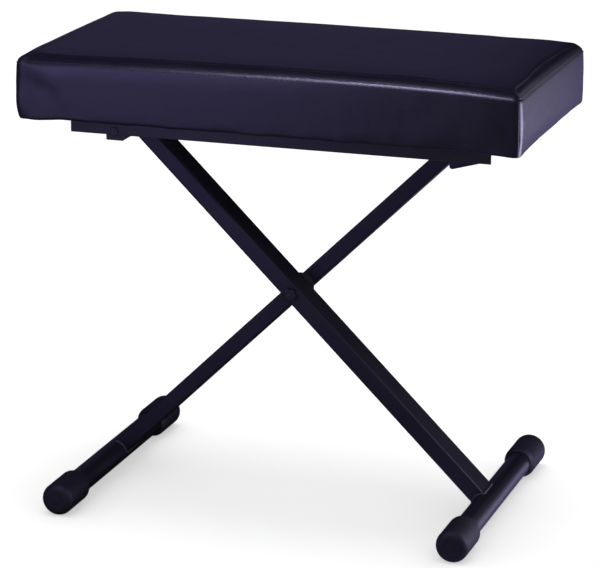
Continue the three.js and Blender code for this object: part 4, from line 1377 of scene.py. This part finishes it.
def latch_coil(x, z, sign):
    """Five turns of wire on the rod, with a straight tail at each end.

    The coil is (x + R cos a, y, z + R sin a) with y even in a.
    """
    radius = 4.2 * MM
    angle = np.linspace(0, 5 * TURN, 5 * 28)
    y = sign * np.linspace(84, 92, len(angle)) * MM
    coil = np.stack([x + radius * np.cos(angle), y, z + radius * np.sin(angle)], axis=1)
    first = coil[0] + np.linspace(8, 0.6, 8)[:, None] * MM * np.array([0.1, 0, -1])
    last = coil[-1] + np.linspace(0.6, 7, 8)[:, None] * MM * np.array([-0.2, 0, 1.0]) * np.array([1, 0, 0.5])
    return np.concatenate([first, coil, last])


def rail_screws():
    """Pan-head screws up through the rails, each with a cross recess.

    The head is a polar grid: height (1 - (r / R)^2) of the dome, less the recess where |u| or |v|
    is under half the cross's width.
    """
    radius, height = 5.5 * MM, 3.2 * MM
    r = np.array([0.001, 0.5, 0.75, 1.3, 2.1, 2.6, 3.4, 4.4, 5.1, 5.5, 5.5]) * MM
    sides = 40
    angle = np.arange(sides) / sides * TURN + math.pi / sides
    u, v = r[:, None] * np.cos(angle), r[:, None] * np.sin(angle)
    dome = height * (1 - 0.45 * (r[:, None] / radius) ** 2.4) + 0 * u
    dome[-1] = 0
    inside = (np.minimum(abs(u), abs(v)) < 0.62 * MM) & (r[:, None] < 2.4 * MM)
    dome = np.where(inside, dome - 1.5 * MM * (1 - r[:, None] / (3.4 * MM)), dome)
    for name in (n for n in frame["nodes"] if n.startswith("rail_screw_")):
        low, high = box(name)
        x, y = (low[:2] + high[:2]) / 2
        seat_z = low[2] + height
        points = np.stack([x + u, y + v, seat_z - dome], axis=2).reshape(-1, 3)
        hub = np.array([[x, y, points[0, 2]], [x, y, seat_z]])
        quads = grid_quads(len(r), sides, close_columns=True)
        here = np.arange(sides)
        after = (here + 1) % sides
        base = (len(r) - 1) * sides
        first = np.stack([np.full(sides, len(points)), after, here], axis=1)
        last = np.stack([np.full(sides, len(points) + 1), base + here, base + after], axis=1)
        head = mesh_object(
            name.replace("rail_screw", "pan_head"), np.concatenate([points, hub]), quads, np.concatenate([first, last]))
        dress(head, "zinc", "seat", [name])


def under_cloth():
    """The dust cloth under the board, stretched flat but for shallow waves, and its staples."""
    low, high = CLOTH_LOW, CLOTH_HIGH
    nx, ny = 110, 52
    x, y = np.meshgrid(np.linspace(low[0], high[0], nx), np.linspace(low[1], high[1], ny), indexing="ij")
    edge = np.minimum(np.minimum(x - low[0], high[0] - x), np.minimum(y - low[1], high[1] - y))
    wave = gathers(x + 0.4 * y, 5, [(0.060, 0.10 * MM), (0.023, 0.05 * MM)])
    wave = wave + gathers(y - 0.3 * x, 9, [(0.045, 0.07 * MM)])
    pucker = 0.16 * MM * np.exp(-((edge / (9 * MM)) ** 2)) * np.cos(TURN * (x + y) / (34 * MM))
    z = (low[2] + high[2]) / 2 - 0.05 * MM + wave + pucker
    points = np.stack([x, y, z], axis=2)
    quads = grid_quads(nx, ny)[:, ::-1]
    cloth = mesh_object("stretched_dust_cloth", points, quads, closed=False, sharp=None)
    thickness = cloth.modifiers.new("thickness", "SOLIDIFY")
    thickness.thickness = 0.35 * MM
    thickness.offset = 0
    dress(cloth, "dust_cloth", "seat", ["dust_cloth"])
    inset = 7 * MM
    loop = rounded_rectangle(high[0] - inset, high[1] - inset, 4 * MM)
    places = even_path(np.concatenate([loop, np.zeros((len(loop), 1))], axis=1), 42 * MM)
    ahead = np.roll(places, -1, axis=0) - np.roll(places, 1, axis=0)
    places[:, 2] = low[2] + 0.02 * MM
    rng = np.random.default_rng(21)
    ahead = ahead / np.linalg.norm(ahead, axis=1, keepdims=True) + rng.normal(0, 0.10, ahead.shape) * (1, 1, 0)
    shape, quads = capsule(11 * MM, 0.42 * MM)
    shape = shape * np.array([1, 1.5, -0.7])
    row = copies("staples", shape, quads[:, ::-1], places, ahead, np.tile((0, 0, 1.0), (len(places), 1)))
    dress(row, "zinc", "seat")


# ---------------------------------------------------------------------------------------
# Floor, light and camera
# ---------------------------------------------------------------------------------------

VIEW_AZIMUTH = math.radians(18.35)
VIEW_ELEVATION = math.radians(15.76)
VIEW_ROLL = math.radians(0.21)
VIEW_DISTANCE = 3.6483
VIEW_SHIFT = (-0.00185, 0.24809)  # of the camera from the line through the origin: right, up
VIEW_LENS = 180.65
SENSOR = 36.0


def view_axes():
    """The camera's right, up and backward directions."""
    back = np.array([
        math.sin(VIEW_AZIMUTH) * math.cos(VIEW_ELEVATION),
        -math.cos(VIEW_AZIMUTH) * math.cos(VIEW_ELEVATION),
        math.sin(VIEW_ELEVATION),
    ])
    level = np.array([math.cos(VIEW_AZIMUTH), math.sin(VIEW_AZIMUTH), 0])
    upward = np.cross(back, level)
    right = level * math.cos(VIEW_ROLL) + upward * math.sin(VIEW_ROLL)
    up = -level * math.sin(VIEW_ROLL) + upward * math.cos(VIEW_ROLL)
    return right, up, back


def camera():
    right, up, back = view_axes()
    place = back * VIEW_DISTANCE + right * VIEW_SHIFT[0] + up * VIEW_SHIFT[1]
    data = bpy.data.cameras.new("camera")
    data.lens = VIEW_LENS
    data.sensor_width = SENSOR
    data.clip_end = 100
    eye = bpy.data.objects.new("camera", data)
    eye.matrix_world = Matrix([
        [right[0], up[0], back[0], place[0]],
        [right[1], up[1], back[1], place[1]],
        [right[2], up[2], back[2], place[2]],
        [0, 0, 0, 1],
    ])
    bpy.context.scene.collection.objects.link(eye)
    bpy.context.scene.camera = eye


def floor():
    size = 30.0
    corners = np.array([[-size, -size, 0], [size, -size, 0], [size, size, 0], [-size, size, 0]])
    plane = mesh_object("floor", corners, np.array([[0, 1, 2, 3]]), closed=False)
    finish = Finish("studio_floor")
    cloud = finish.noise(1.5, 3)
    finish.set(
        Base_Color=finish.mix(cloud, (0.54, 0.54, 0.545), (0.56, 0.56, 0.563)),
        Roughness=0.9,
        Specular_IOR_Level=0.0,
        Emission_Color=(1, 1, 1),
        Emission_Strength=0.45,
    )
    plane.data.materials.append(finish.material)
    plane.visible_glossy = False


def softbox(name, place, aim, width, height, power, colour=(1, 1, 1), card=False, diffuse_only=False):
    """An area light. A card shows in reflections only."""
    data = bpy.data.lights.new(name, "AREA")
    data.shape = "RECTANGLE"
    data.size = width
    data.size_y = height
    data.energy = power
    data.color = colour
    lamp = bpy.data.objects.new(name, data)
    lamp.location = place
    toward = Vector(aim) - Vector(place)
    lamp.rotation_euler = toward.to_track_quat("-Z", "Y").to_euler()
    bpy.context.scene.collection.objects.link(lamp)
    lamp.visible_camera = False
    lamp.visible_diffuse = not card
    lamp.visible_glossy = not diffuse_only


def studio():
    """A white room for soft light, hidden from reflections, and softboxes that do show in them."""
    world = bpy.data.worlds.new("studio")
    world.use_nodes = True
    shade = world.node_tree.nodes["Background"]
    shade.inputs["Color"].default_value = (1.0, 1.0, 1.0, 1)
    shade.inputs["Strength"].default_value = 1.0
    world.cycles_visibility.glossy = False
    bpy.context.scene.world = world
    pale = (0.80, 0.75, 1.0)
    violet = (0.54, 0.46, 1.0)
    softbox("top_light", (0, 0.2, 3.0), (0, 0, 0.5), 1.5, 1.2, 34, diffuse_only=True)
    softbox("edge_glow", (-0.08, -0.85, 1.25), (0.25, -0.15, 0.54), 0.22, 0.16, 9, pale, card=True)
    softbox("band_glow", (-0.66, -1.05, 0.92), (-0.15, -0.15, 0.5), 0.7, 0.5, 2.5, violet, card=True)
    softbox("front_glow", (-0.62, -1.15, 0.28), (-0.2, -0.15, 0.45), 0.75, 0.75, 2.2, violet, card=True)
    softbox("back_glow", (-2.2, 3.2, 1.4), (0, 0, 0.5), 3.8, 2.0, 3.6, violet, card=True)
    softbox("floor_glow", (2.6, 2.3, 0.0005), (2.6, 2.3, 1), 5, 5, 32, violet, card=True)
    softbox("bar_glow", (0.50, 0.25, 0.0008), (0.50, 0.25, 1), 0.44, 0.8, 1.4, pale, card=True)
    softbox("end_glow", (0.50, 0.28, 0.62), (0.3, -0.1, 0.5), 0.26, 0.6, 0.30, pale, card=True)
    softbox("corner_glow", (0.85, 0.06, 0.28), (0.3, -0.15, 0.5), 0.42, 0.5, 8, pale, card=True)
    view = bpy.context.scene.view_settings
    view.view_transform = "Standard"
    view.look = "None"
    view.exposure = 0
    view.gamma = 1


# ---------------------------------------------------------------------------------------
# Assembly
# ---------------------------------------------------------------------------------------

SLOT_FINISH = {
    "vinyl": "vinyl", "foam": "foam", "plywood": "plywood", "dust_cloth": "dust_cloth",
    "frame_paint": "frame_paint", "rubber": "rubber", "zinc": "zinc", "nylon": "nylon", "black_steel": "black_steel"}


def dress_frame():
    """Gives every CAD node the finish of its slot."""
    for row in frame["record"]["subparts"]:
        node = frame["nodes"][row["node"]]
        node.data.materials.clear()
        node.data.materials.append(FINISHES[SLOT_FINISH[row["material_slot"]]])


camera()
floor()
studio()
dress_frame()
cover, cover_tree, cover_points, cover_rows, cover_count = upholstery()
corner_seams(cover_tree, cover_points, cover_rows, cover_count)
for each_leg in LEGS:
    leg_tube(each_leg)
    foot(each_leg)
upper_bars()
crossing()
rails()
latch()
rail_screws()
under_cloth()

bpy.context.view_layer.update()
